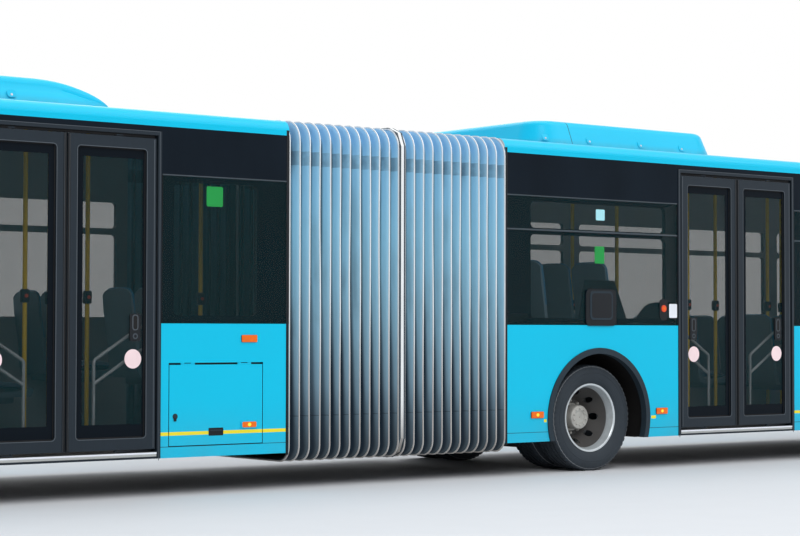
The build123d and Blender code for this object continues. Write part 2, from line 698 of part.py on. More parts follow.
def floor_plate(x_rear, x_front, housings, doors):
    """A floor plate with wheel housings and the sills under the doorways."""
    with BuildPart() as floor:
        box_between((x_rear, -INNER_W, FLOOR_BOTTOM), (x_front, INNER_W, FLOOR_TOP))
        for axle_x, inner_y in housings:
            for side in (-1, 1):
                wheel_housing(axle_x, inner_y, side)
        for _, door_rear, door_front in doors:
            box_between((door_rear + DOOR_FRAME + SEAT_GAP, -HALF_W, FLOOR_BOTTOM),
                        (door_front - DOOR_FRAME - SEAT_GAP, -INNER_W, FLOOR_TOP))
        for axle_x, _ in housings:
            for side in (-1, 1):
                pad_x = axle_x + HOUSING_R + HOUSING_T + JACK_PAD_GAP
                low_y, high_y = sorted((side * JACK_PAD_Y, side * (JACK_PAD_Y + JACK_PAD[1])))
                box_between((pad_x, low_y, FLOOR_BOTTOM - JACK_PAD_T),
                            (pad_x + JACK_PAD[0], high_y, FLOOR_BOTTOM))
    return floor.part


JACK_PAD = (200, 130)
JACK_PAD_T = 14
JACK_PAD_Y = INNER_W - 330
JACK_PAD_GAP = 60
FRONT_FLOOR_X = MASK_X + 60
save(floor_plate(FRONT_END_X, FRONT_FLOOR_X,
                 ((MIDDLE_AXLE_X, HOUSING_INNER_TWIN), (FRONT_AXLE_X, HOUSING_INNER_STEERED)),
                 DOORS[:2]), "front_floor")

with BuildPart() as rear_floor:
    add(floor_plate(TAIL_JOINT_X, REAR_END_X, ((REAR_AXLE_X, HOUSING_INNER_TWIN),),
                    DOORS[2:]))
    box_between((BAY_FRONT_X, -INNER_W, FLOOR_TOP), (BAY_FRONT_X + BAY_T, INNER_W, BAY_TOP_Z))
    box_between((TAIL_JOINT_X, -INNER_W, BAY_TOP_Z - BAY_T),
                (BAY_FRONT_X, INNER_W, BAY_TOP_Z))
save(rear_floor.part, "rear_floor")

with BuildPart() as engine:
    engine_low = (TAIL_JOINT_X + ENGINE_CLEARANCE, ENGINE_Y, FLOOR_TOP + SEAT_GAP)
    box_between(engine_low, [low + size for low, size in zip(engine_low, ENGINE_SIZE)])
save(engine.part, "engine")


# Joint between the sections

def end_ring(half_w, bottom_z, top_z, corner):
    """A body-section face with two-step bevelled corners, in the open sketch."""
    step = corner * 0.3
    corners = [(0, corner), (step, step), (corner, 0)]
    points = []
    for sign_y, sign_z in ((1, 1), (-1, 1), (-1, -1), (1, -1)):
        z_edge = top_z if sign_z > 0 else bottom_z
        order = corners if sign_y * sign_z > 0 else corners[::-1]
        points += [(sign_y * (half_w - a), z_edge - sign_z * b) for a, b in order]
    with BuildLine() as outline:
        Polyline(*points, close=True)
    make_face(outline.edges())


def pleated_tube(x_start, x_end, pleats, inset):
    """A ruled stack of crest and valley sections between two ends."""
    step = (x_end - x_start) / (2 * pleats)
    with BuildPart() as tube:
        for i in range(2 * pleats + 1):
            depth = inset + (PLEAT_DEPTH if i % 2 else 0)
            bottom_z = BELLOWS_BOTTOM_Z + min(inset, BELLOWS_UNDER_T)
            with BuildSketch(Plane.YZ.offset(x_start + step * i)):
                end_ring(HALF_W - depth, bottom_z, BELLOWS_TOP_Z - depth,
                         BELLOWS_CORNER - depth * 0.5)
        loft(ruled=True)
    return tube.part


def bellows(x_start, x_end, name):
    """One pleated half of the bellows, open at both ends."""
    with BuildPart() as half:
        add(pleated_tube(x_start, x_end, PLEATS_PER_HALF, 0))
        add(pleated_tube(x_start, x_end, PLEATS_PER_HALF, BELLOWS_T), mode=Mode.SUBTRACT)
    save(half.part, name)


bellows(PIVOT_X + HOOP_HALF, FRONT_END_X, "front_bellows")
bellows(REAR_END_X, PIVOT_X - HOOP_HALF, "rear_bellows")

HOOP_BOTTOM_Z = BELLOWS_BOTTOM_Z - HOOP_PROUD
HOOP_BAR_TOP_Z = FLOOR_TOP - TURNTABLE_T - CARRIER_T - 2 * SEAT_GAP
with BuildPart() as middle_hoop:
    with BuildSketch(Plane.YZ.offset(PIVOT_X - HOOP_HALF)):
        end_ring(HALF_W + HOOP_PROUD, HOOP_BOTTOM_Z, BELLOWS_TOP_Z + HOOP_PROUD,
                 BELLOWS_CORNER)
    extrude(amount=2 * HOOP_HALF)
    with BuildSketch(Plane.YZ.offset(PIVOT_X - HOOP_HALF)):
        end_ring(HALF_W - HOOP_DEPTH, HOOP_BAR_TOP_Z, BELLOWS_TOP_Z - HOOP_DEPTH,
                 BELLOWS_CORNER * 0.6)
    extrude(amount=2 * HOOP_HALF, mode=Mode.SUBTRACT)
save(middle_hoop.part, "middle_hoop")

with BuildPart() as joint_carrier:
    carrier_top = FLOOR_TOP - TURNTABLE_T - SEAT_GAP
    with BuildSketch(Plane.XY.offset(carrier_top - CARRIER_T)):
        with Locations((PIVOT_X, 0)):
            Circle(CARRIER_R)
        rectangle_between((PIVOT_X, -ARM_WIDTH / 2), (FRONT_END_X, ARM_WIDTH / 2))
    extrude(amount=CARRIER_T)
    with BuildSketch(Plane.XY.offset(FLOOR_BOTTOM)):
        rectangle_between((PIVOT_X + PASSAGE_TRIM, -TURNTABLE_R), (FRONT_END_X, TURNTABLE_R))
        with Locations((PIVOT_X, 0)):
            Circle(TURNTABLE_R + RING_GAP, mode=Mode.SUBTRACT)
    extrude(amount=FLOOR_T)
save(joint_carrier.part, "joint_carrier")

with BuildPart() as turntable:
    with BuildSketch(Plane.XY.offset(FLOOR_TOP - TURNTABLE_T)):
        with Locations((PIVOT_X, 0)):
            Circle(TURNTABLE_R)
        rectangle_between((REAR_END_X, -TURNTABLE_R), (PIVOT_X - PASSAGE_TRIM, TURNTABLE_R))
    extrude(amount=TURNTABLE_T)
    box_between((REAR_END_X, -ARM_WIDTH / 2, carrier_top - CARRIER_T),
                (PIVOT_X - CARRIER_R - 60, ARM_WIDTH / 2, FLOOR_TOP - TURNTABLE_T))
save(turntable.part, "turntable")


# Wheels

SIDEWALL_BULGE = 80
SHOULDER = (30, 35)


def tyre_ring(centre_y):
    """One tyre as a ring with bevelled shoulders, turned about the wheel's axis."""
    half = TYRE_W / 2
    bead = RIM_W / 2 - DISC_T - SEAT_GAP
    with BuildSketch(Plane.YZ) as profile:
        with BuildLine():
            Polyline((centre_y, RIM_SEAT_R + SEAT_GAP), (centre_y - bead, RIM_SEAT_R + SEAT_GAP),
                     (centre_y - bead, FLANGE_R + SEAT_GAP),
                     (centre_y - half, RIM_SEAT_R + SIDEWALL_BULGE),
                     (centre_y - half + SHOULDER[0] / 6, TYRE_R - SHOULDER[1]),
                     (centre_y - half + SHOULDER[0], TYRE_R), (centre_y, TYRE_R), close=True)
        make_face()
        mirror(about=Plane(origin=(centre_y, 0, 0), z_dir=(1, 0, 0)))
    revolve(profile.sketch, axis=Axis.Y)


def barrel_points(centre_y):
    """Outline of a rim's barrel, from its inner flange to its outer one."""
    half = RIM_W / 2
    return [(centre_y - half, BARREL_R), (centre_y - half, FLANGE_R),
            (centre_y - half + DISC_T, FLANGE_R), (centre_y - half + DISC_T, RIM_SEAT_R),
            (centre_y + half - DISC_T, RIM_SEAT_R), (centre_y + half - DISC_T, FLANGE_R),
            (centre_y + half, FLANGE_R), (centre_y + half, BARREL_R)]


def revolve_profile(points, mode=Mode.ADD):
    """Turn a closed outline of (y, radius) points about the wheel's axis."""
    with BuildSketch(Plane.YZ) as profile:
        with BuildLine():
            Polyline(*points, close=True)
        make_face()
    revolve(profile.sketch, axis=Axis.Y, mode=mode)


def place_wheel(part, axle_x, side):
    """Move a wheel built at the origin to its axle, mirrored for the right side."""
    turned = part if side > 0 else part.mirror(Plane.XZ)
    return turned.moved(Location((axle_x, 0, AXLE_Z)))


HAND_HOLES = 8
HAND_HOLE_R = 30
HAND_HOLE_PCD_R = 185
with BuildPart() as single_tyre:
    tyre_ring(SINGLE_Y)

with BuildPart() as twin_tyres:
    tyre_ring(TWIN_Y - TWIN_SPACING / 2)
    tyre_ring(TWIN_Y + TWIN_SPACING / 2)

STUB_LENGTH = 90
with BuildPart() as single_rim:
    revolve_profile(barrel_points(SINGLE_Y))
    disc_y = SINGLE_Y + 70
    revolve_profile([(disc_y - 40, BARREL_R), (disc_y, HUB_R + 60), (disc_y, HUB_R - 5),
                     (disc_y + DISC_T, HUB_R - 5), (disc_y + DISC_T, HUB_R + 60),
                     (disc_y - 40 + DISC_T, BARREL_R)])
    revolve_profile([(disc_y - 70, STUB_R + PIN_CLEARANCE), (disc_y - 70, HUB_R),
                     (disc_y + 50, HUB_R), (disc_y + 65, HUB_R - 15), (disc_y + 65, 0),
                     (disc_y + 45, 0), (disc_y + 45, STUB_R + PIN_CLEARANCE)])
    with BuildSketch(Plane.XZ.offset(-disc_y - 50)):
        with PolarLocations(HAND_HOLE_PCD_R, HAND_HOLES):
            Circle(HAND_HOLE_R)
    extrude(amount=100, mode=Mode.SUBTRACT)

with BuildPart() as twin_rim:
    for sign in (-1, 1):
        centre_y = TWIN_Y + sign * TWIN_SPACING / 2
        revolve_profile(barrel_points(centre_y))
        rim_edge_y = TWIN_Y + sign * (TWIN_SPACING / 2 - RIM_W / 2 + 20)
        revolve_profile([(rim_edge_y, BARREL_R), (TWIN_Y, HAND_HOLE_PCD_R + 45),
                         (TWIN_Y, HUB_R - 5), (TWIN_Y + sign * DISC_T, HUB_R - 5),
                         (TWIN_Y + sign * DISC_T, HAND_HOLE_PCD_R + 45),
                         (rim_edge_y + sign * DISC_T, BARREL_R)])
    hub_outer = TWIN_Y + TWIN_SPACING / 2 + RIM_W / 2 - 132
    revolve_profile([(TWIN_Y - 90, SPINDLE_R + PIN_CLEARANCE), (TWIN_Y - 90, HUB_R),
                     (hub_outer - 12, HUB_R), (hub_outer, HUB_R - 12), (hub_outer, 0),
                     (hub_outer - 20, 0), (hub_outer - 20, SPINDLE_R + PIN_CLEARANCE)])
    with BuildSketch(Plane.XZ.offset(-TWIN_Y - 100)):
        with PolarLocations(HAND_HOLE_PCD_R, HAND_HOLES):
            Circle(HAND_HOLE_R)
    extrude(amount=200, mode=Mode.SUBTRACT)

AXLES = [("front", FRONT_AXLE_X, single_tyre, single_rim),
         ("middle", MIDDLE_AXLE_X, twin_tyres, twin_rim),
         ("rear", REAR_AXLE_X, twin_tyres, twin_rim)]
for axle_name, axle_x, tyres, rims in AXLES:
    for side_name, side in (("left", 1), ("right", -1)):
        save(place_wheel(tyres.part, axle_x, side), f"{axle_name}_{side_name}_tyre")
        save(place_wheel(rims.part, axle_x, side), f"{axle_name}_{side_name}_rim")


# Axles and knuckles

KINGPIN_Y = SINGLE_Y - 122.5
KNUCKLE_R = 45
KINGPIN_R = 25
LUG_T = 45
LUG_LOW_Z = AXLE_Z - 132
LUG_HIGH_Z = AXLE_Z + 88
BEAM_Z = (FLOOR_BOTTOM - 115, FLOOR_BOTTOM - 25)
BEAM_HALF = 50
BEAM_END_Y = KINGPIN_Y - 100
BEAM_END_T = 60
SPRING_R = 105
SPRING_Y = 300

with BuildPart() as front_axle:
    box_between((FRONT_AXLE_X - BEAM_HALF, -BEAM_END_Y, BEAM_Z[0]),
                (FRONT_AXLE_X + BEAM_HALF, BEAM_END_Y, BEAM_Z[1]))
    for side in (-1, 1):
        low_y, high_y = sorted((side * (BEAM_END_Y - BEAM_END_T), side * BEAM_END_Y))
        box_between((FRONT_AXLE_X - BEAM_HALF, low_y, BEAM_Z[0]),
                    (FRONT_AXLE_X + BEAM_HALF, high_y, LUG_HIGH_Z + LUG_T))
        low_y, high_y = sorted((side * BEAM_END_Y, side * (KINGPIN_Y + KNUCKLE_R)))
        for lug_z in (LUG_LOW_Z, LUG_HIGH_Z):
            box_between((FRONT_AXLE_X - KNUCKLE_R, low_y, lug_z),
                        (FRONT_AXLE_X + KNUCKLE_R, high_y, lug_z + LUG_T))
        with Locations((FRONT_AXLE_X, side * KINGPIN_Y, AXLE_Z)):
            Cylinder(KINGPIN_R + PIN_CLEARANCE, 400, mode=Mode.SUBTRACT)
        with Locations((FRONT_AXLE_X, side * SPRING_Y, (BEAM_Z[1] + FLOOR_BOTTOM) / 2)):
            Cylinder(SPRING_R, FLOOR_BOTTOM - BEAM_Z[1])
save(front_axle.part, "front_axle")

for side_name, side in (("left", 1), ("right", -1)):
    with BuildPart() as knuckle:
        barrel_low = LUG_LOW_Z + LUG_T + PIN_CLEARANCE
        barrel_high = LUG_HIGH_Z - PIN_CLEARANCE
        with Locations((FRONT_AXLE_X, side * KINGPIN_Y, (barrel_low + barrel_high) / 2)):
            Cylinder(KNUCKLE_R, barrel_high - barrel_low)
        with Locations((FRONT_AXLE_X, side * KINGPIN_Y, (LUG_LOW_Z + LUG_HIGH_Z + LUG_T) / 2)):
            Cylinder(KINGPIN_R, LUG_HIGH_Z - LUG_LOW_Z + LUG_T)
        stub_end = SINGLE_Y + 70 + 40
        with BuildSketch(Plane.XZ.offset(-side * KINGPIN_Y)):
            with Locations((FRONT_AXLE_X, AXLE_Z)):
                Circle(STUB_R)
        extrude(amount=-side * (stub_end - KINGPIN_Y))
    save(knuckle.part, f"{side_name}_knuckle")

PORTAL_Y = (TWIN_Y - 400, TWIN_Y - 315)
PORTAL_HALF = 150
DIFFERENTIAL_R = 75


def portal_axle(axle_x, driven):
    """A low portal beam whose end housings rise to the wheel spindles."""
    with BuildPart() as axle:
        box_between((axle_x - 70, -PORTAL_Y[1], BEAM_Z[0]), (axle_x + 70, PORTAL_Y[1], BEAM_Z[1]))
        for side in (-1, 1):
            low_y, high_y = sorted((side * PORTAL_Y[0], side * PORTAL_Y[1]))
            with BuildSketch(Plane.XZ.offset(-high_y)):
                with Locations((axle_x, AXLE_Z)):
                    Circle(PORTAL_HALF)
                rectangle_between((axle_x - PORTAL_HALF, BEAM_Z[0]),
                                  (axle_x + PORTAL_HALF, AXLE_Z))
            extrude(amount=high_y - low_y)
            with BuildSketch(Plane.XZ.offset(-side * PORTAL_Y[1])):
                with Locations((axle_x, AXLE_Z)):
                    Circle(SPINDLE_R)
            extrude(amount=-side * (TWIN_Y + 120 - PORTAL_Y[1]))
            with Locations((axle_x, side * SPRING_Y, (BEAM_Z[1] + FLOOR_BOTTOM) / 2)):
                Cylinder(SPRING_R, FLOOR_BOTTOM - BEAM_Z[1])
        if driven:
            with Locations((axle_x, 0, BEAM_Z[1] - DIFFERENTIAL_R)):
                Cylinder(DIFFERENTIAL_R, 300, rotation=(90, 0, 0))
    return axle.part


save(portal_axle(MIDDLE_AXLE_X, False), "middle_axle")
save(portal_axle(REAR_AXLE_X, True), "rear_axle")


# Doors: turning posts with two arms, and leaves hung on the arms' pins

LOWER_ARM_Z = FLOOR_TOP + ARM_GAP
LEAF_BOTTOM_Z = LOWER_ARM_Z + ARM_T + ARM_GAP
UPPER_ARM_Z = PORTAL_TOP_Z - ARM_GAP - 3 - ARM_T
LEAF_TOP_Z = UPPER_ARM_Z - ARM_GAP
POST_TOP_Z = PORTAL_TOP_Z + 50 - PIN_CLEARANCE
POST_Y = -HALF_W + POST_INSET
LEAF_Y = -HALF_W + LEAF_T / 2
HINGE_PIN_H = 20


def door_geometry(door_rear, door_front, outward):
    """Post place, pin place and the leaf's two edges for one leaf of a doorway."""
    edge_x = door_rear + DOOR_FRAME if outward < 0 else door_front - DOOR_FRAME
    inward = -outward
    half = (door_front - door_rear) / 2 - DOOR_FRAME
    post_x = edge_x + outward * POST_BEHIND_PORTAL
    hung_x = edge_x + inward * LEAF_GAP
    meet_x = edge_x + inward * (half - LEAF_MEET_GAP / 2)
    arm_reach = (abs(meet_x - post_x) - LEAF_TAIL) / 2
    return post_x, post_x + inward * arm_reach, hung_x, meet_x


def door_post(post_x, pin_x):
    """An upright turning post with an arm and a pin above and below the leaf."""
    with BuildPart() as post:
        low_z = FLOOR_TOP + PIN_CLEARANCE
        with Locations((post_x, POST_Y, (low_z + POST_TOP_Z) / 2)):
            Cylinder(POST_R, POST_TOP_Z - low_z)
        for arm_z, pin_up in ((LOWER_ARM_Z, 1), (UPPER_ARM_Z, -1)):
            with BuildSketch(Plane.XY.offset(arm_z)):
                with BuildLine():
                    reach = Vector(pin_x - post_x, LEAF_Y - POST_Y)
                    across = Vector(-reach.Y, reach.X).normalized() * (ARM_W / 2)
                    start = Vector(post_x, POST_Y)
                    end = Vector(pin_x, LEAF_Y)
                    Polyline(start + across, end + across, end - across, start - across,
                             close=True)
                make_face()
                with Locations((pin_x, LEAF_Y)):
                    Circle(ARM_W / 2)
            extrude(amount=ARM_T)
            pin_base = arm_z + ARM_T / 2
            pin_h = ARM_T / 2 + ARM_GAP + HINGE_PIN_H
            with Locations((pin_x, LEAF_Y, pin_base + pin_up * pin_h / 2)):
                Cylinder(HINGE_PIN_R, pin_h)
    return post.part


def tube_end(place, along):
    """The tube's round section at a place, square to its run."""
    with BuildSketch(Plane(origin=place, z_dir=along)) as ring:
        Circle(RAIL_TUBE_R)
    return ring.sketch


def bent_tube(points):
    """A round tube along points: straight runs, and a round bend at each corner."""
    path = [Vector(*point) for point in points]
    start = path[0]
    for before, corner, after in zip(path, path[1:], path[2:]):
        run = (corner - before).normalized()
        next_run = (after - corner).normalized()
        turn = run.get_angle(next_run)
        trim = RAIL_BEND_R * math.tan(math.radians(turn / 2))
        bend_start = corner - run * trim
        extrude(tube_end(start, run), amount=(bend_start - start).length)
        inward = (next_run - run * run.dot(next_run)).normalized()
        centre = bend_start + inward * RAIL_BEND_R
        revolve(tube_end(bend_start, run), axis=Axis(centre, run.cross(next_run)),
                revolution_arc=turn)
        start = corner + next_run * trim
    last_run = path[-1] - start
    extrude(tube_end(start, last_run.normalized()), amount=last_run.length)


def leaf_rails(pin_x, hung_x, inward):
    """Handrails inside a leaf: from the hung stile down a slope to an upright, and one below."""
    stile_x = hung_x + inward * STILE_W * 0.7
    upright_x = pin_x + inward * (RAIL_REACH - RAIL_TUBE_R)
    face_y = LEAF_Y + LEAF_T / 2
    rail_y = face_y + RAIL_PROUD
    foot_z = LEAF_BOTTOM_Z + RAIL_W / 2
    bent_tube([(stile_x, face_y, RAIL_TOP_Z), (stile_x, rail_y, RAIL_TOP_Z),
               (upright_x, rail_y, RAIL_TOP_Z - RAIL_FALL), (upright_x, rail_y, foot_z),
               (upright_x, face_y, foot_z)])
    low_z = RAIL_TOP_Z - RAIL_SPACING
    bent_tube([(stile_x, face_y, low_z), (stile_x, rail_y, low_z),
               (upright_x, rail_y, low_z - RAIL_FALL)])


def door_leaf(pin_x, hung_x, meet_x):
    """A framed glass leaf with its handle box, handrails and the sockets for the pins."""
    low_x, high_x = sorted((hung_x, meet_x))
    inward = 1 if meet_x > hung_x else -1
    middle = ((low_x + high_x) / 2, (LEAF_BOTTOM_Z + LEAF_TOP_Z) / 2)
    pane_size = (high_x - low_x - 2 * STILE_W, LEAF_TOP_Z - LEAF_BOTTOM_Z - 2 * RAIL_W)
    pane_front_y = LEAF_Y - LEAF_T / 2 + PANE_DEPTH
    with BuildPart() as leaf:
        with BuildSketch(Plane.XZ.offset(-LEAF_Y - LEAF_T / 2)):
            rectangle_between((low_x, LEAF_BOTTOM_Z), (high_x, LEAF_TOP_Z))
            with Locations(middle):
                RectangleRounded(*pane_size, LEAF_PANE_R, mode=Mode.SUBTRACT)
        extrude(amount=LEAF_T)
        with BuildSketch(Plane.XZ.offset(-pane_front_y - PANE_T)):
            with Locations(middle):
                Rectangle(*pane_size)
        extrude(amount=PANE_T)
        with BuildSketch(Plane.XZ.offset(-pane_front_y)):
            with Locations((hung_x + inward * (STILE_W + GRIP_INSET), GRIP_Z)):
                RectangleRounded(*GRIP_SIZE, GRIP_R)
        extrude(amount=GRIP_PROUD)
        leaf_rails(pin_x, hung_x, inward)
        for socket_z in (LEAF_BOTTOM_Z, LEAF_TOP_Z):
            with Locations((pin_x, LEAF_Y, socket_z)):
                Cylinder(HINGE_PIN_R + PIN_CLEARANCE, 2 * (HINGE_PIN_H + 5), mode=Mode.SUBTRACT)
    return leaf.part


for door_name, door_rear, door_front in DOORS:
    for leaf_name, outward in (("rear", -1), ("front", 1)):
        post_x, pin_x, hung_x, meet_x = door_geometry(door_rear, door_front, outward)
        save(door_post(post_x, pin_x), f"{door_name}_{leaf_name}_post")
        save(door_leaf(pin_x, hung_x, meet_x), f"{door_name}_{leaf_name}_leaf")
        print(door_name, leaf_name, "post", post_x, POST_Y, "pin", pin_x, LEAF_Y)


# Seats: pairs carried on a beam from the side wall

def seat(x, z_top, high_y):
    """One forward-facing seat with a leaning back and rounded top corners."""
    cushion_low = z_top - CUSHION_T
    back_x = x - BACK_LEAN
    with BuildSketch(Plane.XZ.offset(-high_y)) as shape:
        with BuildLine():
            Polyline((x, cushion_low), (x + SEAT_DEPTH, cushion_low + 20),
                     (x + SEAT_DEPTH, z_top), (x + BACK_T, z_top - 15),
                     (back_x, z_top + BACK_H), (back_x - BACK_T * 0.6, z_top + BACK_H),
                     (x - BACK_LEAN / 2, cushion_low + 20), close=True)
        make_face()
    block = extrude(shape.sketch, amount=SEAT_W, mode=Mode.PRIVATE)
    top_corners = block.edges().filter_by(Axis.X).group_by(Axis.Z)[-1]
    add(block.fillet(BACK_CORNER_R, top_corners))


def seat_pair(x, z_top, side):
    """Two seats side by side on a beam that is fixed to the wall."""
    for index in range(2):
        outer = INNER_W - SEAT_WALL_GAP - index * (SEAT_W + SEAT_PAIR_GAP)
        seat(x, z_top, outer if side > 0 else -outer + SEAT_W)
    cushion_low = z_top - CUSHION_T
    low_y, high_y = sorted((side * INNER_W, side * (INNER_W - SEAT_WALL_GAP - 2 * SEAT_W)))
    box_between((x + 80, low_y, cushion_low - BEAM_T), (x + 300, high_y, cushion_low + 25))


def row_places(first, last, pitch=SEAT_PITCH):
    """Places of seat rows from the first up to the last, one pitch apart."""
    return [first + i * pitch for i in range(int((last - first) / pitch) + 1)]


BEAM_T = 50
HOUSING_SEAT_Z = AXLE_Z + HOUSING_R + HOUSING_T + SEAT_GAP + BEAM_T + CUSHION_T
JOINT_SEAT_Z = FLOOR_TOP + 610
BAY_SEAT_Z = BAY_TOP_Z + CUSHION_T + BEAM_T + 5
OVER_AXLE = (-560, 200)
MIDDLE_ROWS = row_places(DOORS[1][2] + 350, FRONT_AXLE_X - HOUSING_R - HOUSING_T - SEAT_DEPTH - 40)
BAY_ROWS = row_places(TAIL_JOINT_X + 140, BAY_FRONT_X - SEAT_DEPTH - 60, 750)

# Seat rows on both sides: place along the bus and height of the cushion
FRONT_ROWS = ([(MIDDLE_AXLE_X + x, HOUSING_SEAT_Z) for x in OVER_AXLE]
              + [(x, SEAT_LOW_Z) for x in MIDDLE_ROWS]
              + [(FRONT_AXLE_X - 250, HOUSING_SEAT_Z)])
REAR_ROWS = ([(REAR_END_X - 1000, JOINT_SEAT_Z)]
             + [(REAR_AXLE_X + x, HOUSING_SEAT_Z) for x in OVER_AXLE]
             + [(x, BAY_SEAT_Z) for x in BAY_ROWS])

# Section, its rows on both sides, and the row opposite its doorway
for seats_name, rows, facing_door_x in (("front_seats", FRONT_ROWS, DOOR_2_REAR_X + 310),
                                        ("rear_seats", REAR_ROWS, DOOR_3_FRONT_X - 656)):
    with BuildPart() as seats:
        for seat_x, seat_z in rows:
            for side in (-1, 1):
                seat_pair(seat_x, seat_z, side)
        seat_pair(facing_door_x, SEAT_LOW_Z, 1)
    save(seats.part, seats_name)


# Poles from floor to ceiling

def pole(x, y, low_z=FLOOR_TOP):
    """One upright pole, from the floor or a deck up to the ceiling."""
    low_z = low_z + SEAT_GAP
    high_z = roof_inner_z(abs(y) + POLE_R) - SEAT_GAP
    with Locations((x, y, (low_z + high_z) / 2)):
        Cylinder(POLE_R, high_z - low_z)


AISLE_Y = INNER_W - SEAT_WALL_GAP - 2 * SEAT_W - SEAT_PAIR_GAP
AISLE_POLE_Y = AISLE_Y - 30
JOINT_POLE_Y = AISLE_Y + 10
DOOR_POLE_Y = AISLE_Y + 60
CAB_POLE_Y = AISLE_Y + 230
MID_DOOR_POLE_Y = AISLE_Y + 330


def doorway_poles(door_rear, door_front):
    """Two poles beside a doorway and one in the middle of its platform."""
    return [(door_rear + 110, -DOOR_POLE_Y), ((door_rear + door_front) / 2, -MID_DOOR_POLE_Y),
            (door_front - 110, -DOOR_POLE_Y)]


FRONT_POLES = (doorway_poles(*DOORS[1][1:])
               + [(row_x + 400, AISLE_POLE_Y * (-1) ** (i + 1))
                  for i, row_x in enumerate(MIDDLE_ROWS)]
               + [(DOOR_2_REAR_X + 110, AISLE_POLE_Y), (DOORS[1][2] + 50, AISLE_POLE_Y),
                  (FRONT_END_X + 175, -JOINT_POLE_Y), (FRONT_END_X + 175, JOINT_POLE_Y),
                  (DOORS[0][1] + 130, -CAB_POLE_Y), (DOORS[0][2] - 170, -CAB_POLE_Y)])
REAR_POLES = doorway_poles(*DOORS[2][1:]) + [
    (REAR_END_X - 200, -JOINT_POLE_Y), (REAR_END_X - 200, JOINT_POLE_Y),
    (DOOR_3_FRONT_X - 110, AISLE_POLE_Y)]
for poles_name, table in (("front_poles", FRONT_POLES), ("rear_poles", REAR_POLES)):
    with BuildPart() as poles:
        for pole_x, pole_y in table:
            pole(pole_x, pole_y)
    save(poles.part, poles_name)


# Driver's cab

CAB_REAR_X = MASK_X - 710
CAB_WALL_T = 30
CAB_SIDE_Y = INNER_W - 950
CAB_WALL_TOP_Z = FLOOR_TOP + 1670
CAB_SIDE_TOP_Z = FLOOR_TOP + 920
DASH_Y = -500
DASH_DEPTH = 180
DASH_TOP_Z = SCREEN_BOTTOM_Z - 20
DRIVER_Y = INNER_W - 500
DRIVER_X = MASK_X - 600
DRIVER_SEAT_Z = FLOOR_TOP + 520
PEDESTAL_HALF_W = 150
WHEEL_RIM_R = 225
WHEEL_RIM_T = 25
WHEEL_GRIP_W = 30
WHEEL_HUB_R = 60
WHEEL_SPOKE_W = 40
WHEEL_TILT = 30
WHEEL_BACK = 210
WHEEL_RISE = 80
COLUMN_R = 45
COLUMN_LENGTH = 260

with BuildPart() as cab_fittings:
    floor_z = FLOOR_TOP + SEAT_GAP
    wall_y = INNER_W - SEAT_GAP
    dash_rear_x = MASK_X - 50
    with BuildSketch(Plane.XZ.offset(-wall_y)):
        with BuildLine():
            Polyline((MASK_X + 50, DASH_TOP_Z), (MASK_X + 50, floor_z), (dash_rear_x, floor_z),
                     (dash_rear_x, DASH_TOP_Z - 220), (MASK_X + 50 - DASH_DEPTH, DASH_TOP_Z - 100),
                     (MASK_X + 50 - DASH_DEPTH, DASH_TOP_Z - 60))
            ThreePointArc((MASK_X + 50 - DASH_DEPTH, DASH_TOP_Z - 60),
                          (MASK_X + 65 - DASH_DEPTH, DASH_TOP_Z - 20),
                          (MASK_X + 110 - DASH_DEPTH, DASH_TOP_Z))
            Line((MASK_X + 110 - DASH_DEPTH, DASH_TOP_Z), (MASK_X + 50, DASH_TOP_Z))
        make_face()
    extrude(amount=wall_y - DASH_Y)
    box_between((CAB_REAR_X, CAB_SIDE_Y, floor_z),
                (CAB_REAR_X + CAB_WALL_T, wall_y, CAB_WALL_TOP_Z))
    box_between((CAB_REAR_X + CAB_WALL_T, CAB_SIDE_Y, floor_z),
                (dash_rear_x, CAB_SIDE_Y + CAB_WALL_T, CAB_SIDE_TOP_Z))
    box_between((DRIVER_X + 60, DRIVER_Y - PEDESTAL_HALF_W, floor_z),
                (DRIVER_X + 360, DRIVER_Y + PEDESTAL_HALF_W, DRIVER_SEAT_Z - CUSHION_T + 25))
    seat(DRIVER_X, DRIVER_SEAT_Z, DRIVER_Y + SEAT_W / 2)
    tilt = math.radians(WHEEL_TILT)
    steering_plane = Plane(origin=(MASK_X - WHEEL_BACK, DRIVER_Y, DASH_TOP_Z + WHEEL_RISE),
                           z_dir=(-math.sin(tilt), 0, math.cos(tilt)))
    with BuildSketch(steering_plane):
        Circle(WHEEL_RIM_R)
        Circle(WHEEL_RIM_R - WHEEL_GRIP_W, mode=Mode.SUBTRACT)
        Rectangle(2 * WHEEL_RIM_R - WHEEL_GRIP_W, WHEEL_SPOKE_W)
        Circle(WHEEL_HUB_R)
    extrude(amount=WHEEL_RIM_T)
    with BuildSketch(steering_plane):
        Circle(COLUMN_R)
    extrude(amount=-COLUMN_LENGTH)
save(cab_fittings.part, "cab_fittings")

# Lamps and mirrors

with BuildPart() as front_lamps:
    for side in (-1, 1):
        for lamp_x in (MIDDLE_AXLE_X - 730, MIDDLE_AXLE_X + 760, DOORS[1][2] + 1250):
            side_lamp(lamp_x, LOW_LAMP_Z, side)
        side_lamp(MASK_X - 30, LOW_LAMP_Z, side, length=50)
    add(headlamps.part)
save(front_lamps.part, "front_lamps")

with BuildPart() as rear_lamps:
    side_lamp(REAR_LAMP_X, LOW_LAMP_Z, 1)
    for side in (-1, 1):
        side_lamp(REAR_LAMP_X, HIGH_LAMP_Z, side)
        side_lamp(TAIL_JOINT_X + 500, LOW_LAMP_Z, side)
        low_y, high_y = sorted((side * TAIL_LAMP_Y[0], side * TAIL_LAMP_Y[1]))
        box_between((TAIL_X, low_y, TAIL_LAMP_Z[0]), (TAIL_X + LAMP_T, high_y, TAIL_LAMP_Z[1]))
save(rear_lamps.part, "rear_lamps")

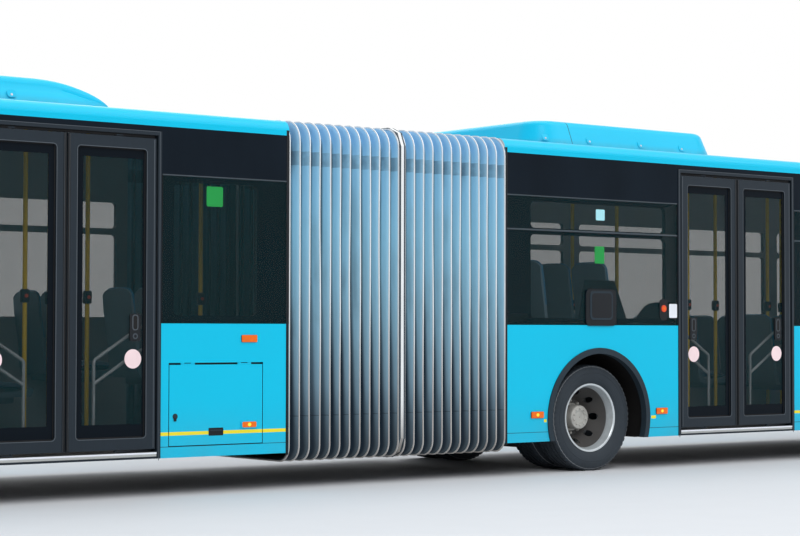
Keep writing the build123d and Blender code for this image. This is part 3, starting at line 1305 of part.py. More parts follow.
MIRROR_SIZE = (100, 200, 400)
MIRROR_EDGE_R = 30
MIRROR_OUT = 60
MIRROR_TOP_Z = GLASS_TOP_Z - 120
MIRROR_ARM_T = 40
with BuildPart() as mirrors:
    for side in (-1, 1):
        low_y, high_y = sorted((side * (HALF_W + MIRROR_OUT),
                                side * (HALF_W + MIRROR_OUT + MIRROR_SIZE[1])))
        box_between((MASK_X, low_y, MIRROR_TOP_Z - MIRROR_SIZE[2]),
                    (MASK_X + MIRROR_SIZE[0], high_y, MIRROR_TOP_Z))
    fillet(mirrors.edges().filter_by(Axis.Z), MIRROR_EDGE_R)
    for side in (-1, 1):
        low_y, high_y = sorted((side * HALF_W, side * (HALF_W + 2 * MIRROR_OUT)))
        box_between((MASK_X + 30, low_y, MIRROR_TOP_Z - MIRROR_ARM_T / 2),
                    (MASK_X + 30 + MIRROR_ARM_T, high_y, MIRROR_TOP_Z + MIRROR_ARM_T / 2))
save(mirrors.part, "mirrors")

print(len(finished), "nodes")
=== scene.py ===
"""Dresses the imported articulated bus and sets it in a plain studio.

Lengths are in metres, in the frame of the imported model: +X forward, +Y to the left, +Z up.
"""
import json
import math

import bmesh
import bpy
from mathutils import Matrix, Vector, noise

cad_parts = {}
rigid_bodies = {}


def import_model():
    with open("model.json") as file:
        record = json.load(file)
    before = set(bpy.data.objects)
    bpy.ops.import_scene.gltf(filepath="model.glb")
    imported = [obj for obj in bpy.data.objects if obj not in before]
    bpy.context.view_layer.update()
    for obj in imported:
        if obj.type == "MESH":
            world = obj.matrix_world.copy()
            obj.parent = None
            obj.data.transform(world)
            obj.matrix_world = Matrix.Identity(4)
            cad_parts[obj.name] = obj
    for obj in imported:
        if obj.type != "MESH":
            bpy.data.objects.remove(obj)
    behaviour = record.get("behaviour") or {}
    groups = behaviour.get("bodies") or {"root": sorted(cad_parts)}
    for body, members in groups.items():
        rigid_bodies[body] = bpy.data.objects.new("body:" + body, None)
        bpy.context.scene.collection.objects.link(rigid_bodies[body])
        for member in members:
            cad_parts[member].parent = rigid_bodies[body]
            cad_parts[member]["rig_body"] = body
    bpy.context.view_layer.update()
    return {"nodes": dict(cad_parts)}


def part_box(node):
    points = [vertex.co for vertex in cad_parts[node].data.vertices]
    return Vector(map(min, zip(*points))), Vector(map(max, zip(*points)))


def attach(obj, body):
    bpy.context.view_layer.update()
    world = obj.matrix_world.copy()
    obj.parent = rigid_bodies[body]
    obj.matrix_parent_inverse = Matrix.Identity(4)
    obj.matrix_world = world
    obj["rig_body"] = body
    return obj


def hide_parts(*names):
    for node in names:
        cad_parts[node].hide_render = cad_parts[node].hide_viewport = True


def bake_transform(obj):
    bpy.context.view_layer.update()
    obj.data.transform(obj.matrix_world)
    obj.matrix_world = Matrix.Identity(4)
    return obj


bl_info = {
    "name": "Articulated Bus Dressing",
    "version": (1, 0, 0),
    "blender": (4, 5, 0),
    "location": "3D View > Sidebar > Bus",
    "description": "Paint, glass, bellows, wheels, seats and lamps for an articulated bus",
    "category": "Object",
}

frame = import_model()
NODES = frame["nodes"]

# Places read from the frame
ROOF_LOW, ROOF_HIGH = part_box("front_roof")
HALF_W = ROOF_HIGH.y
EAVES_Z = ROOF_LOW.z
FRONT_END_X = ROOF_LOW.x
REAR_END_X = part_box("rear_roof")[1].x
PIVOT_X = (FRONT_END_X + REAR_END_X) / 2
NOSE_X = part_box("front_mask")[1].x
TAIL_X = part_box("tail_panel")[0].x
SKIRT_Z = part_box("front_floor")[0].z
INNER_W = HALF_W - 0.05
FLOOR_TOP_Z = 0.33
AXLES = {name: (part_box(f"{name}_right_tyre")[0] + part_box(f"{name}_right_tyre")[1]) / 2
         for name in ("front", "middle", "rear")}
MIDDLE_X = AXLES["middle"].x
FRONT_COVER_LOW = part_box("front_roof_pod")[0]
REAR_COVER_LOW, REAR_COVER_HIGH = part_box("rear_roof_pod")
AXLE_Z = AXLES["middle"].z

# The cab and the nose
DRIVER_Y = 0.7
NOSE_BOW = 0.09

# Heights on the sides
BELT_Z = 1.27
VENT_Z = 2.067
GLASS_TOP_Z = 2.37
STRIPE_Z = (0.443, 0.469)
SKIRT_SEAM_Z = 0.361
BAND_TOP_Z = 2.72
SIDE_LAMP_Z = 0.508
LIP_R = 0.61

# Fittings beside door 2 and the bellows' section
FILLER_X, FILLER_Z = MIDDLE_X + 0.01, 1.44
BUTTON_X = MIDDLE_X + 0.785
BELLOWS_LOW_Z, BELLOWS_HIGH_Z = 0.21, 2.85

DOORS = {name: (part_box(f"{name}_rear_leaf")[0].x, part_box(f"{name}_front_leaf")[1].x)
         for name in ("door1", "door2", "door3")}
DOOR_SECTION = {"door1": "front_section", "door2": "front_section", "door3": "rear_section"}


# Settings

class PaintSettings(bpy.types.PropertyGroup):
    """Colours of the body's outside."""

    body: bpy.props.FloatVectorProperty(
        name="Body", description="Colour of the body panels and roof",
        subtype="COLOR", default=(0.0, 0.52, 0.765), min=0, max=1)
    band: bpy.props.FloatVectorProperty(
        name="Window band", description="Colour of the glossy band around the windows",
        subtype="COLOR", default=(0.004, 0.007, 0.011), min=0, max=1)
    stripe: bpy.props.FloatVectorProperty(
        name="Stripe", description="Colour of the thin line above the skirt",
        subtype="COLOR", default=(0.9, 0.74, 0.02), min=0, max=1)
    frames: bpy.props.FloatVectorProperty(
        name="Door frames", description="Colour of the anodised door frames",
        subtype="COLOR", default=(0.013, 0.021, 0.03), min=0, max=1)


class BellowsSettings(bpy.types.PropertyGroup):
    """Form and colour of the bellows."""

    pleats: bpy.props.IntProperty(
        name="Pleats", description="Folds in each half of the bellows", default=11, min=4, max=20)
    depth: bpy.props.FloatProperty(
        name="Depth", description="How far a fold goes in", default=0.085, unit="LENGTH")
    fabric: bpy.props.FloatVectorProperty(
        name="Fabric", description="Colour of the coated cloth",
        subtype="COLOR", default=(0.27, 0.53, 0.68), min=0, max=1)
    edging: bpy.props.FloatVectorProperty(
        name="Edging", description="Colour of the clamping strips on the folds",
        subtype="COLOR", default=(0.84, 0.86, 0.86), min=0, max=1)


class WheelSettings(bpy.types.PropertyGroup):
    """Counts and sizes on the wheels."""

    nuts: bpy.props.IntProperty(
        name="Nuts", description="Nuts round each hub", default=10, min=4, max=20)
    hand_holes: bpy.props.IntProperty(
        name="Hand holes", description="Holes through each wheel disc", default=8, min=2, max=16)
    tread_blocks: bpy.props.IntProperty(
        name="Shoulder blocks", description="Blocks round each tyre's shoulder",
        default=60, min=20, max=120)


class StudioSettings(bpy.types.PropertyGroup):
    """Floor, lamps and camera of the plain studio."""

    floor: bpy.props.FloatVectorProperty(
        name="Floor", description="Colour of the floor", subtype="COLOR",
        default=(0.62, 0.63, 0.65), min=0, max=1)
    key_strength: bpy.props.FloatProperty(
        name="Key strength", description="Strength of the soft lamp over the kerb side",
        default=1.35, min=0)
    lens: bpy.props.FloatProperty(
        name="Lens", description="Focal length of the camera on a 36 mm sensor",
        default=90.12, min=20, max=300)
    camera_place: bpy.props.FloatVectorProperty(
        name="Camera place", description="Where the camera stands", subtype="XYZ",
        unit="LENGTH", default=(-11.696, -13.915, 1.222))
    heading: bpy.props.FloatProperty(
        name="Heading", description="Turn of the view from +Y towards +X",
        subtype="ANGLE", default=math.radians(38.03))
    pitch: bpy.props.FloatProperty(
        name="Pitch", description="Upward tilt of the view", subtype="ANGLE",
        default=math.radians(1.78))
    roll: bpy.props.FloatProperty(
        name="Roll", description="Turn of the camera about its view", subtype="ANGLE",
        default=math.radians(0.11))


# Materials from expressions

class Value:
    """One output in a node tree; an expression on it adds Math nodes."""

    def __init__(self, nodes, socket):
        self.nodes = nodes
        self.socket = socket

    def _math(self, operation, *terms):
        return self.nodes.add("ShaderNodeMath", {"operation": operation},
                              dict(enumerate(terms)))

    def __add__(self, other):
        return self._math("ADD", self, other)

    __radd__ = __add__

    def __sub__(self, other):
        return self._math("SUBTRACT", self, other)

    def __rsub__(self, other):
        return self._math("SUBTRACT", other, self)

    def __mul__(self, other):
        return self._math("MULTIPLY", self, other)

    __rmul__ = __mul__

    def __truediv__(self, other):
        return self._math("DIVIDE", self, other)

    def __abs__(self):
        return self._math("ABSOLUTE", self)

    def __gt__(self, other):
        return self._math("GREATER_THAN", self, other)

    def __lt__(self, other):
        return self._math("LESS_THAN", self, other)

    def wave(self):
        """The sine of the value."""
        return self._math("SINE", self)

    def rise(self, low, high):
        """0 below low and 1 above high, smooth between."""
        return self.nodes.add("ShaderNodeMapRange", {"interpolation_type": "SMOOTHSTEP"},
                              {"Value": self, "From Min": low, "From Max": high})

    def within(self, low, high):
        """1 between low and high and 0 elsewhere."""
        return (self > low) * (self < high)


class Nodes:
    """A node tree that one method fills."""

    def __init__(self, tree):
        self.tree = tree
        tree.nodes.clear()

    def add(self, kind, settings=None, inputs=None, output=0):
        """Adds one node: its settings first, then the values or links of its sockets."""
        node = self.tree.nodes.new(kind)
        for key, setting in (settings or {}).items():
            if key == "stops":
                self._set_stops(node.color_ramp.elements, setting)
            else:
                setattr(node, key, setting)
        for key, given in (inputs or {}).items():
            if isinstance(given, Value):
                self.tree.links.new(given.socket, node.inputs[key])
            else:
                node.inputs[key].default_value = given
        return Value(self, node.outputs[output] if node.outputs else None)

    def _set_stops(self, elements, stops):
        while len(elements) < len(stops):
            elements.new(1.0)
        for element, (position, colour) in zip(elements, stops):
            element.position = position
            element.color = (*colour, 1)


class Finish(Nodes):
    """A material whose nodes come from expressions."""

    def __init__(self, name):
        self.material = bpy.data.materials.new(name)
        self.material.use_nodes = True
        super().__init__(self.material.node_tree)
        self.place = self.add("ShaderNodeTexCoord", output="Object")
        axes = self.add("ShaderNodeSeparateXYZ", inputs={"Vector": self.place})
        outputs = axes.socket.node.outputs
        self.x, self.y, self.z = (Value(self, outputs[axis]) for axis in "XYZ")

    def noise(self, scale, detail=3.0, place=None):
        """Soft random values from 0 to 1."""
        return self.add("ShaderNodeTexNoise", inputs={
            "Vector": place or self.place, "Scale": scale, "Detail": detail}, output="Fac")

    def stretched(self, along_x, along_y, along_z):
        """The place, scaled along each axis."""
        return self.add("ShaderNodeVectorMath", {"operation": "MULTIPLY"},
                        {0: self.place, 1: (along_x, along_y, along_z)})

    def mix(self, base, other, share):
        """A colour that goes from base to other."""
        colours = [c if isinstance(c, Value) else (*c, 1) for c in (base, other)]
        return self.add("ShaderNodeMix", {"data_type": "RGBA"},
                        {0: share, 6: colours[0], 7: colours[1]}, output=2)

    def ramp(self, value, stops):
        """A colour looked up along a value from 0 to 1."""
        return self.add("ShaderNodeValToRGB", {"stops": stops}, {"Fac": value})

    def bump(self, height, distance, strength=1.0):
        """A normal that leans with the height."""
        return self.add("ShaderNodeBump", inputs={
            "Height": height, "Distance": distance, "Strength": strength})

    def shader(self, **sockets):
        """One Principled surface."""
        names = {"colour": "Base Color", "roughness": "Roughness", "metallic": "Metallic",
                 "coat": "Coat Weight", "coat_roughness": "Coat Roughness", "alpha": "Alpha",
                 "normal": "Normal", "ior": "IOR", "sheen": "Sheen Weight",
                 "glow": "Emission Color", "glow_strength": "Emission Strength",
                 "specular": "Specular IOR Level"}
        inputs = {}
        for key, given in sockets.items():
            colour = key in ("colour", "glow") and not isinstance(given, Value)
            inputs[names[key]] = (*given, 1) if colour else given
        return self.add("ShaderNodeBsdfPrincipled", inputs=inputs)

    def end(self, shader):
        """Links a shader to the material's output."""
        self.add("ShaderNodeOutputMaterial", inputs={"Surface": shader})
        return self.material

    def surface(self, **sockets):
        """Ends the material in one Principled surface."""
        return self.end(self.shader(**sockets))

    def between(self, base, other, share):
        """A shader that goes from base to other."""
        return self.add("ShaderNodeMixShader", inputs={0: share, 1: base, 2: other})


# What the painted finishes share
ROAD_FILM = (0.12, 0.16, 0.17)
PAINT_SHEEN = {"coat": 0.05, "specular": 0.18}


def road_dirt(finish, top_z=0.75, strength=0.35):
    """Road film that thickens towards the skirt, as a share from 0 to 1."""
    streaks = finish.noise(3.0, 5.0, finish.stretched(1.0, 1.0, 0.35))
    low = 1 - finish.z.rise(SKIRT_Z - 0.05, top_z)
    return low * streaks * strength


def paint_finish(paint):
    """Glossy body paint with a little road film low down."""
    finish = Finish("body_paint")
    dirt = road_dirt(finish)
    soft = finish.noise(0.8, 2.0)
    base = finish.mix(paint.body, tuple(0.92 * c for c in paint.body), soft)
    colour = finish.mix(base, ROAD_FILM, dirt)
    ripple = finish.noise(1.7, 1.0)
    return finish.surface(colour=colour, roughness=dirt * 0.6 + 0.3, coat_roughness=0.08,
                          normal=finish.bump(ripple, 0.003, 0.25), **PAINT_SHEEN)


COVER_JOINTS = (FRONT_COVER_LOW.x + 0.42, REAR_COVER_LOW.x + 1.1)


def cover_finish(paint):
    """Paint of a roof cover, with the fine joint across it and film along its foot."""
    finish = Finish("roof_cover_paint")
    soft = finish.noise(0.8, 3.0)
    base = finish.mix(paint.body, tuple(0.9 * c for c in paint.body), soft)
    joints = sum(finish.x.within(x - 0.004, x + 0.004) for x in COVER_JOINTS)
    foot = 1 - finish.z.rise(2.86, 2.93)
    streaks = finish.noise(4.0, 5.0, finish.stretched(2.0, 2.0, 0.6))
    colour = finish.mix(base, (0.0, 0.06, 0.09), joints * 0.85)
    colour = finish.mix(colour, (0.08, 0.2, 0.24), foot * streaks * 0.6)
    return finish.surface(colour=colour, roughness=soft * 0.1 + 0.3, coat_roughness=0.1,
                          normal=finish.bump(finish.noise(1.7, 1.0) - joints * 0.5, 0.004, 0.3),
                          **PAINT_SHEEN)


# Where the thin line runs along each side, from x to x
STRIPE_RUNS = {
    "right": ((REAR_END_X - 1.144, REAR_END_X), (MIDDLE_X + 0.632, MIDDLE_X + 0.69),
              (MIDDLE_X - 0.65, MIDDLE_X - 0.62), (DOORS["door2"][1] + 0.045, 5.6),
              (TAIL_X + 0.25, AXLES["rear"].x - 0.7)),
    "left": ((TAIL_X + 0.25, AXLES["rear"].x - 0.7), (AXLES["rear"].x + 0.7, REAR_END_X),
             (MIDDLE_X + 0.7, AXLES["front"].x - 0.7)),
}


def side_finish(paint, side):
    """Body colour below the windows, gloss black above, with the line over the skirt."""
    finish = Finish(f"side_panel_{side}")
    dirt = road_dirt(finish)
    soft = finish.noise(0.8, 2.0)
    body = finish.mix(paint.body, tuple(0.92 * c for c in paint.body), soft)
    run = sum(finish.x.within(*ends) for ends in STRIPE_RUNS[side])
    stripe = finish.z.within(*STRIPE_Z) * run
    body = finish.mix(body, paint.stripe, stripe)
    seam = finish.z.within(SKIRT_SEAM_Z - 0.003, SKIRT_SEAM_Z + 0.003)
    body = finish.mix(body, (0.0, 0.05, 0.08), seam * 0.8)
    body = finish.mix(body, ROAD_FILM, dirt)
    normal = finish.bump(finish.noise(1.7, 1.0), 0.003, 0.25)
    painted = finish.shader(colour=body, roughness=dirt * 0.6 + 0.3, coat_roughness=0.08,
                            normal=normal, **PAINT_SHEEN)
    film = finish.noise(2.2, 4.0, finish.stretched(1.0, 1.0, 0.5))
    colour = finish.mix(paint.band, tuple(2.2 * c for c in paint.band), film)
    glossy = finish.shader(colour=colour, roughness=film * 0.1 + 0.1, specular=0.05,
                           normal=normal)
    return finish.end(finish.between(painted, glossy,
                                     finish.z.within(BELT_Z - 0.001, BAND_TOP_Z)))


def plain_finish(name, colour, roughness, scale=30.0, spread=0.15, grain=0.0006, **more):
    """A moulded or painted surface with fine grain and slight colour change."""
    finish = Finish(name)
    cloudy = finish.noise(scale / 8, 4.0)
    fine = finish.noise(scale * 6, 2.0)
    dark = tuple(c * (1 - spread) for c in colour)
    light = tuple(min(1, c * (1 + spread)) for c in colour)
    mixed = finish.mix(dark, light, cloudy)
    rough = cloudy * 0.12 + (roughness - 0.06)
    return finish.surface(colour=mixed, roughness=rough, normal=finish.bump(fine, grain, 0.5),
                          **more)


def brushed_finish(name, colour, roughness):
    """Anodised or brushed metal with fine lines along it."""
    finish = Finish(name)
    lines = finish.noise(40.0, 3.0, finish.stretched(6.0, 6.0, 0.15))
    smudge = finish.noise(2.5, 4.0)
    mixed = finish.mix(tuple(0.8 * c for c in colour), tuple(1.2 * c for c in colour), lines)
    return finish.surface(colour=mixed, roughness=smudge * 0.2 + roughness, metallic=0.3,
                          specular=0.3, normal=finish.bump(lines, 0.0003, 0.4))


def glass_finish(name, tint, alpha):
    """Tinted safety glass that shows the saloon and keeps its gloss."""
    finish = Finish(name)
    smear = finish.noise(1.5, 5.0, finish.stretched(0.6, 1.0, 1.6))
    return finish.surface(colour=tint, roughness=smear * 0.05 + 0.02, alpha=smear * 0.03 + alpha,
                          specular=0.2)


def bellows_finish(settings):
    """Coated cloth, silver blue above and darker towards the bottom, with stains that thicken
    below, painted shade in the fold valleys and a painted highlight beside the crests.
    """
    finish = Finish("bellows_cloth")
    height = (finish.z - 0.2) / 2.65
    base = finish.ramp(height, [
        (0.0, (0.022, 0.027, 0.032)), (0.05, (0.045, 0.06, 0.075)),
        (0.14, (0.1, 0.15, 0.19)), (0.226, (0.18, 0.28, 0.35)), (0.415, (0.23, 0.4, 0.5)),
        (0.68, tuple(settings.fabric)), (0.9, (0.25, 0.52, 0.72)), (0.955, (0.19, 0.42, 0.66)),
        (1.0, (0.15, 0.38, 0.66))])
    fold = finish.add("ShaderNodeAttribute", {"attribute_name": "fold"}, output="Fac")
    cloud = finish.noise(2.2, 6.0, finish.stretched(1.6, 1.0, 0.45))
    stains = cloud.rise(0.52, 0.72) * 0.5
    grime = finish.mix(base, (0.05, 0.06, 0.07), stains * (1 - height.rise(0.3, 0.95) * 0.6))
    band = finish.z.within(2.5, 2.61)
    patch = finish.noise(9.0, 3.0).rise(0.2, 0.6)
    banded = finish.mix(grime, (0.09, 0.16, 0.22), band * (patch * 0.45 + 0.2))
    # dark smudges near the top, held to the fold valleys by the fold depth: partly stains, partly
    # painted shade
    smudge_and_shade = finish.noise(3.2, 4.0, finish.stretched(2.5, 1.0, 0.7)).rise(0.5, 0.7)
    banded = finish.mix(banded, (0.02, 0.04, 0.07), smudge_and_shade * finish.z.rise(2.3, 2.6) * fold * 0.7)
    seam = finish.z.within(0.555, 0.562)
    sewn = finish.mix(banded, (0.02, 0.025, 0.03), seam * 0.7)
    low = 1 - height.rise(0.05, 0.6)
    streak = finish.noise(1.4, 3.0, finish.stretched(3.0, 1.0, 0.5)).rise(0.3, 0.65)
    # painted shade: the cloth darkens towards each fold's valley, wider and stronger low down
    fold_shade = fold.rise(0.66 - low * 0.45, 0.93 - low * 0.2) * (streak * 0.3 + low * 0.1 + 0.66)
    shaded = finish.mix(sewn, (0.008, 0.02, 0.035), fold_shade)
    # painted highlight: paler cloth beside each crest, weaker low down
    light = (1 - fold.rise(0.1, 0.6)) * (1 - low * 0.8)
    shaded = finish.mix(shaded, (0.45, 0.72, 0.88), light * 0.3)
    weave = (finish.x * 900.0).wave() * (finish.z * 900.0).wave()
    crease = finish.noise(5.0, 4.0, finish.stretched(3.0, 1.0, 0.35))
    return finish.surface(colour=shaded, roughness=cloud * 0.2 + 0.5, sheen=0.1, specular=0.2,
                          normal=finish.bump(crease + weave * 0.02, 0.012, 0.4))


def edging_finish(settings):
    """Bare clamping strip, bright above and browned by the road below."""
    finish = Finish("bellows_edging")
    cloud = finish.noise(5.0, 5.0)
    low = 1 - finish.z.rise(0.3, 1.7)
    colour = finish.mix(settings.edging, (0.42, 0.38, 0.35), low * (cloud * 0.6 + 0.5))
    return finish.surface(colour=colour, roughness=cloud * 0.2 + 0.35, metallic=0.1,
                          normal=finish.bump(finish.noise(60.0, 3.0), 0.0006, 0.4))


def hoop_finish(settings):
    """The middle hoop: a bright strip with a dark band of painted shade along each side."""
    finish = Finish("hoop_strip")
    off = abs(finish.x - PIVOT_X)
    cloud = finish.noise(4.0, 4.0)
    bright = finish.mix(settings.edging, tuple(0.8 * c for c in settings.edging), cloud)
    bright = finish.mix((0.2, 0.18, 0.16), bright, finish.z.rise(0.2, 0.7))
    # painted shade: near-black beyond 14 mm either side of the bright strip
    colour = finish.mix(bright, (0.02, 0.035, 0.05), off > 0.014)
    return finish.surface(colour=colour, roughness=cloud * 0.2 + 0.4,
                          normal=finish.bump(cloud, 0.002, 0.4))


def tyre_finish():
    """Rubber, a little dusty on the sidewall."""
    finish = Finish("tyre_rubber")
    reach = finish.add("ShaderNodeVectorMath", {"operation": "LENGTH"},
                       {0: finish.stretched(1.0, 0.0, 1.0)}, output="Value")
    dust = finish.noise(6.0, 5.0)
    colour = finish.mix((0.016, 0.022, 0.028), (0.036, 0.045, 0.056), dust)
    # a thin light grey line painted round the shoulder
    edge = reach.within(0.4425, 0.4475)
    shoulder_lined = finish.mix(colour, (0.22, 0.23, 0.24), edge * 0.7)
    rings = (reach * 420.0).wave() * (reach < 0.43) * 0.3
    return finish.surface(colour=shoulder_lined, roughness=dust * 0.2 + 0.6, specular=0.25,
                          normal=finish.bump(rings + finish.noise(80.0, 2.0), 0.0012, 0.6))


def wheel_finish(name, colour, metallic, roughness, dirt_colour=(0.06, 0.055, 0.05), dirt=0.5):
    """Painted or bare wheel metal with brake dust."""
    finish = Finish(name)
    cloud = finish.noise(7.0, 6.0)
    share = cloud.rise(0.42, 0.75) * dirt
    mixed = finish.mix(colour, dirt_colour, share)
    return finish.surface(colour=mixed, roughness=share * 0.3 + roughness,
                          metallic=metallic * (1 - share),
                          normal=finish.bump(finish.noise(60.0, 3.0), 0.0008, 0.5))


def moquette_finish():
    """Blue seat cloth with a fine two-tone fleck."""
    finish = Finish("seat_moquette")
    fleck = finish.noise(95.0, 2.0).rise(0.45, 0.62)
    broad = finish.noise(12.0, 3.0).rise(0.4, 0.7)
    base = finish.mix((0.012, 0.05, 0.13), (0.03, 0.15, 0.24), fleck)
    colour = finish.mix(base, (0.01, 0.03, 0.08), broad * 0.5)
    pile = finish.noise(420.0, 2.0)
    return finish.surface(colour=colour, roughness=0.85, sheen=0.3,
                          normal=finish.bump(pile, 0.0012, 0.6))


def floor_finish():
    """Speckled dark floor covering."""
    finish = Finish("saloon_floor")
    speck = finish.noise(160.0, 1.0).rise(0.6, 0.68)
    wear = finish.noise(1.3, 4.0)
    base = finish.mix((0.03, 0.034, 0.038), (0.07, 0.074, 0.078), wear)
    return finish.surface(colour=finish.mix(base, (0.25, 0.26, 0.27), speck * 0.6),
                          roughness=wear * 0.2 + 0.5,
                          normal=finish.bump(speck, 0.0005, 0.5))


def lens_finish(name, colour, glow=0.0):
    """Ribbed lamp lens."""
    finish = Finish(name)
    ribs = (finish.x * 520.0).wave()
    depth = finish.noise(30.0, 2.0)
    mixed = finish.mix(tuple(0.7 * c for c in colour), colour, depth)
    return finish.surface(colour=mixed, roughness=depth * 0.1 + 0.12, specular=0.3, glow=colour,
                          glow_strength=glow, normal=finish.bump(ribs, 0.0008, 0.4))


MATERIALS = {}


def make_materials(scene):
    """Builds every finish once and keeps it by name."""
    paint = scene.bus_paint
    plain = {
        "interior_trim": ((0.42, 0.44, 0.45), 0.55), "ceiling": ((0.5, 0.51, 0.52), 0.6),
        "black_plastic": ((0.012, 0.014, 0.017), 0.42), "rubber_seal": ((0.012, 0.012, 0.013), 0.6),
        "arch_lip": ((0.022, 0.034, 0.045), 0.5), "underbody": ((0.012, 0.011, 0.011), 0.85),
        "chassis_steel": ((0.03, 0.03, 0.032), 0.55), "engine_grey": ((0.1, 0.1, 0.105), 0.5),
        "seat_shell": ((0.16, 0.23, 0.28), 0.5), "seat_edge": ((0.02, 0.2, 0.38), 0.5),
        "pole_yellow": ((0.95, 0.6, 0.005), 0.32), "dash_grey": ((0.05, 0.052, 0.056), 0.6),
        "label_white": ((0.78, 0.8, 0.85), 0.4), "label_green": ((0.003, 0.27, 0.045), 0.4),
        "label_pink": ((0.9, 0.68, 0.69), 0.4),
        "label_pale": ((0.38, 0.74, 0.8), 0.4), "sill_grey": ((0.4, 0.41, 0.4), 0.45),
        "button_red": ((0.7, 0.07, 0.02), 0.35), "turntable_plate": ((0.07, 0.072, 0.075), 0.5),
    }
    for name, (colour, roughness) in plain.items():
        dark = max(colour) < 0.1
        MATERIALS[name] = plain_finish(name, colour, roughness, specular=0.15 if dark else 0.35)
    MATERIALS["body_paint"] = paint_finish(paint)
    MATERIALS["side_right"] = side_finish(paint, "right")
    MATERIALS["side_left"] = side_finish(paint, "left")
    MATERIALS["gloss_black"] = plain_finish("gloss_black", tuple(paint.band), 0.16, spread=0.05,
                                            grain=0.0001, specular=0.05)
    MATERIALS["roof_cover"] = cover_finish(paint)
    MATERIALS["door_frame"] = brushed_finish("door_frame", tuple(paint.frames), 0.35)
    MATERIALS["bright_rail"] = brushed_finish("bright_rail", (0.45, 0.47, 0.48), 0.25)
    MATERIALS["window_line"] = brushed_finish("window_line", (0.06, 0.075, 0.09), 0.35)
    # painted highlight: a lighter metal for the thin lines along frame, lip and grip edges
    MATERIALS["frame_edge"] = brushed_finish("frame_edge", (0.075, 0.09, 0.105), 0.4)
    MATERIALS["window_glass"] = glass_finish("window_glass", (0.001, 0.02, 0.024), 0.35)
    MATERIALS["door_glass"] = glass_finish("door_glass", (0.001, 0.02, 0.024), 0.33)
    MATERIALS["clear_glass"] = glass_finish("clear_glass", (0.03, 0.04, 0.04), 0.22)
    MATERIALS["bellows_cloth"] = bellows_finish(scene.bus_bellows)
    MATERIALS["hoop_strip"] = hoop_finish(scene.bus_bellows)
    MATERIALS["bellows_edging"] = edging_finish(scene.bus_bellows)
    MATERIALS["tyre_rubber"] = tyre_finish()
    MATERIALS["rim_silver"] = wheel_finish("rim_silver", (0.56, 0.6, 0.62), 0.35, 0.3, dirt=0.35)
    MATERIALS["wheel_disc"] = wheel_finish("wheel_disc", (0.055, 0.052, 0.05), 0.1, 0.6)
    MATERIALS["hub_metal"] = wheel_finish("hub_metal", (0.42, 0.41, 0.38), 0.2, 0.5, dirt=0.35)
    MATERIALS["seat_moquette"] = moquette_finish()
    MATERIALS["saloon_floor"] = floor_finish()
    MATERIALS["lamp_amber"] = lens_finish("lamp_amber", (0.75, 0.13, 0.002), 0.25)
    MATERIALS["lamp_lit"] = lens_finish("lamp_lit", (1.0, 0.6, 0.03), 0.6)
    MATERIALS["lamp_red"] = lens_finish("lamp_red", (0.5, 0.01, 0.01), 0.05)
    MATERIALS["lamp_clear"] = lens_finish("lamp_clear", (0.75, 0.78, 0.8))


# Mesh building

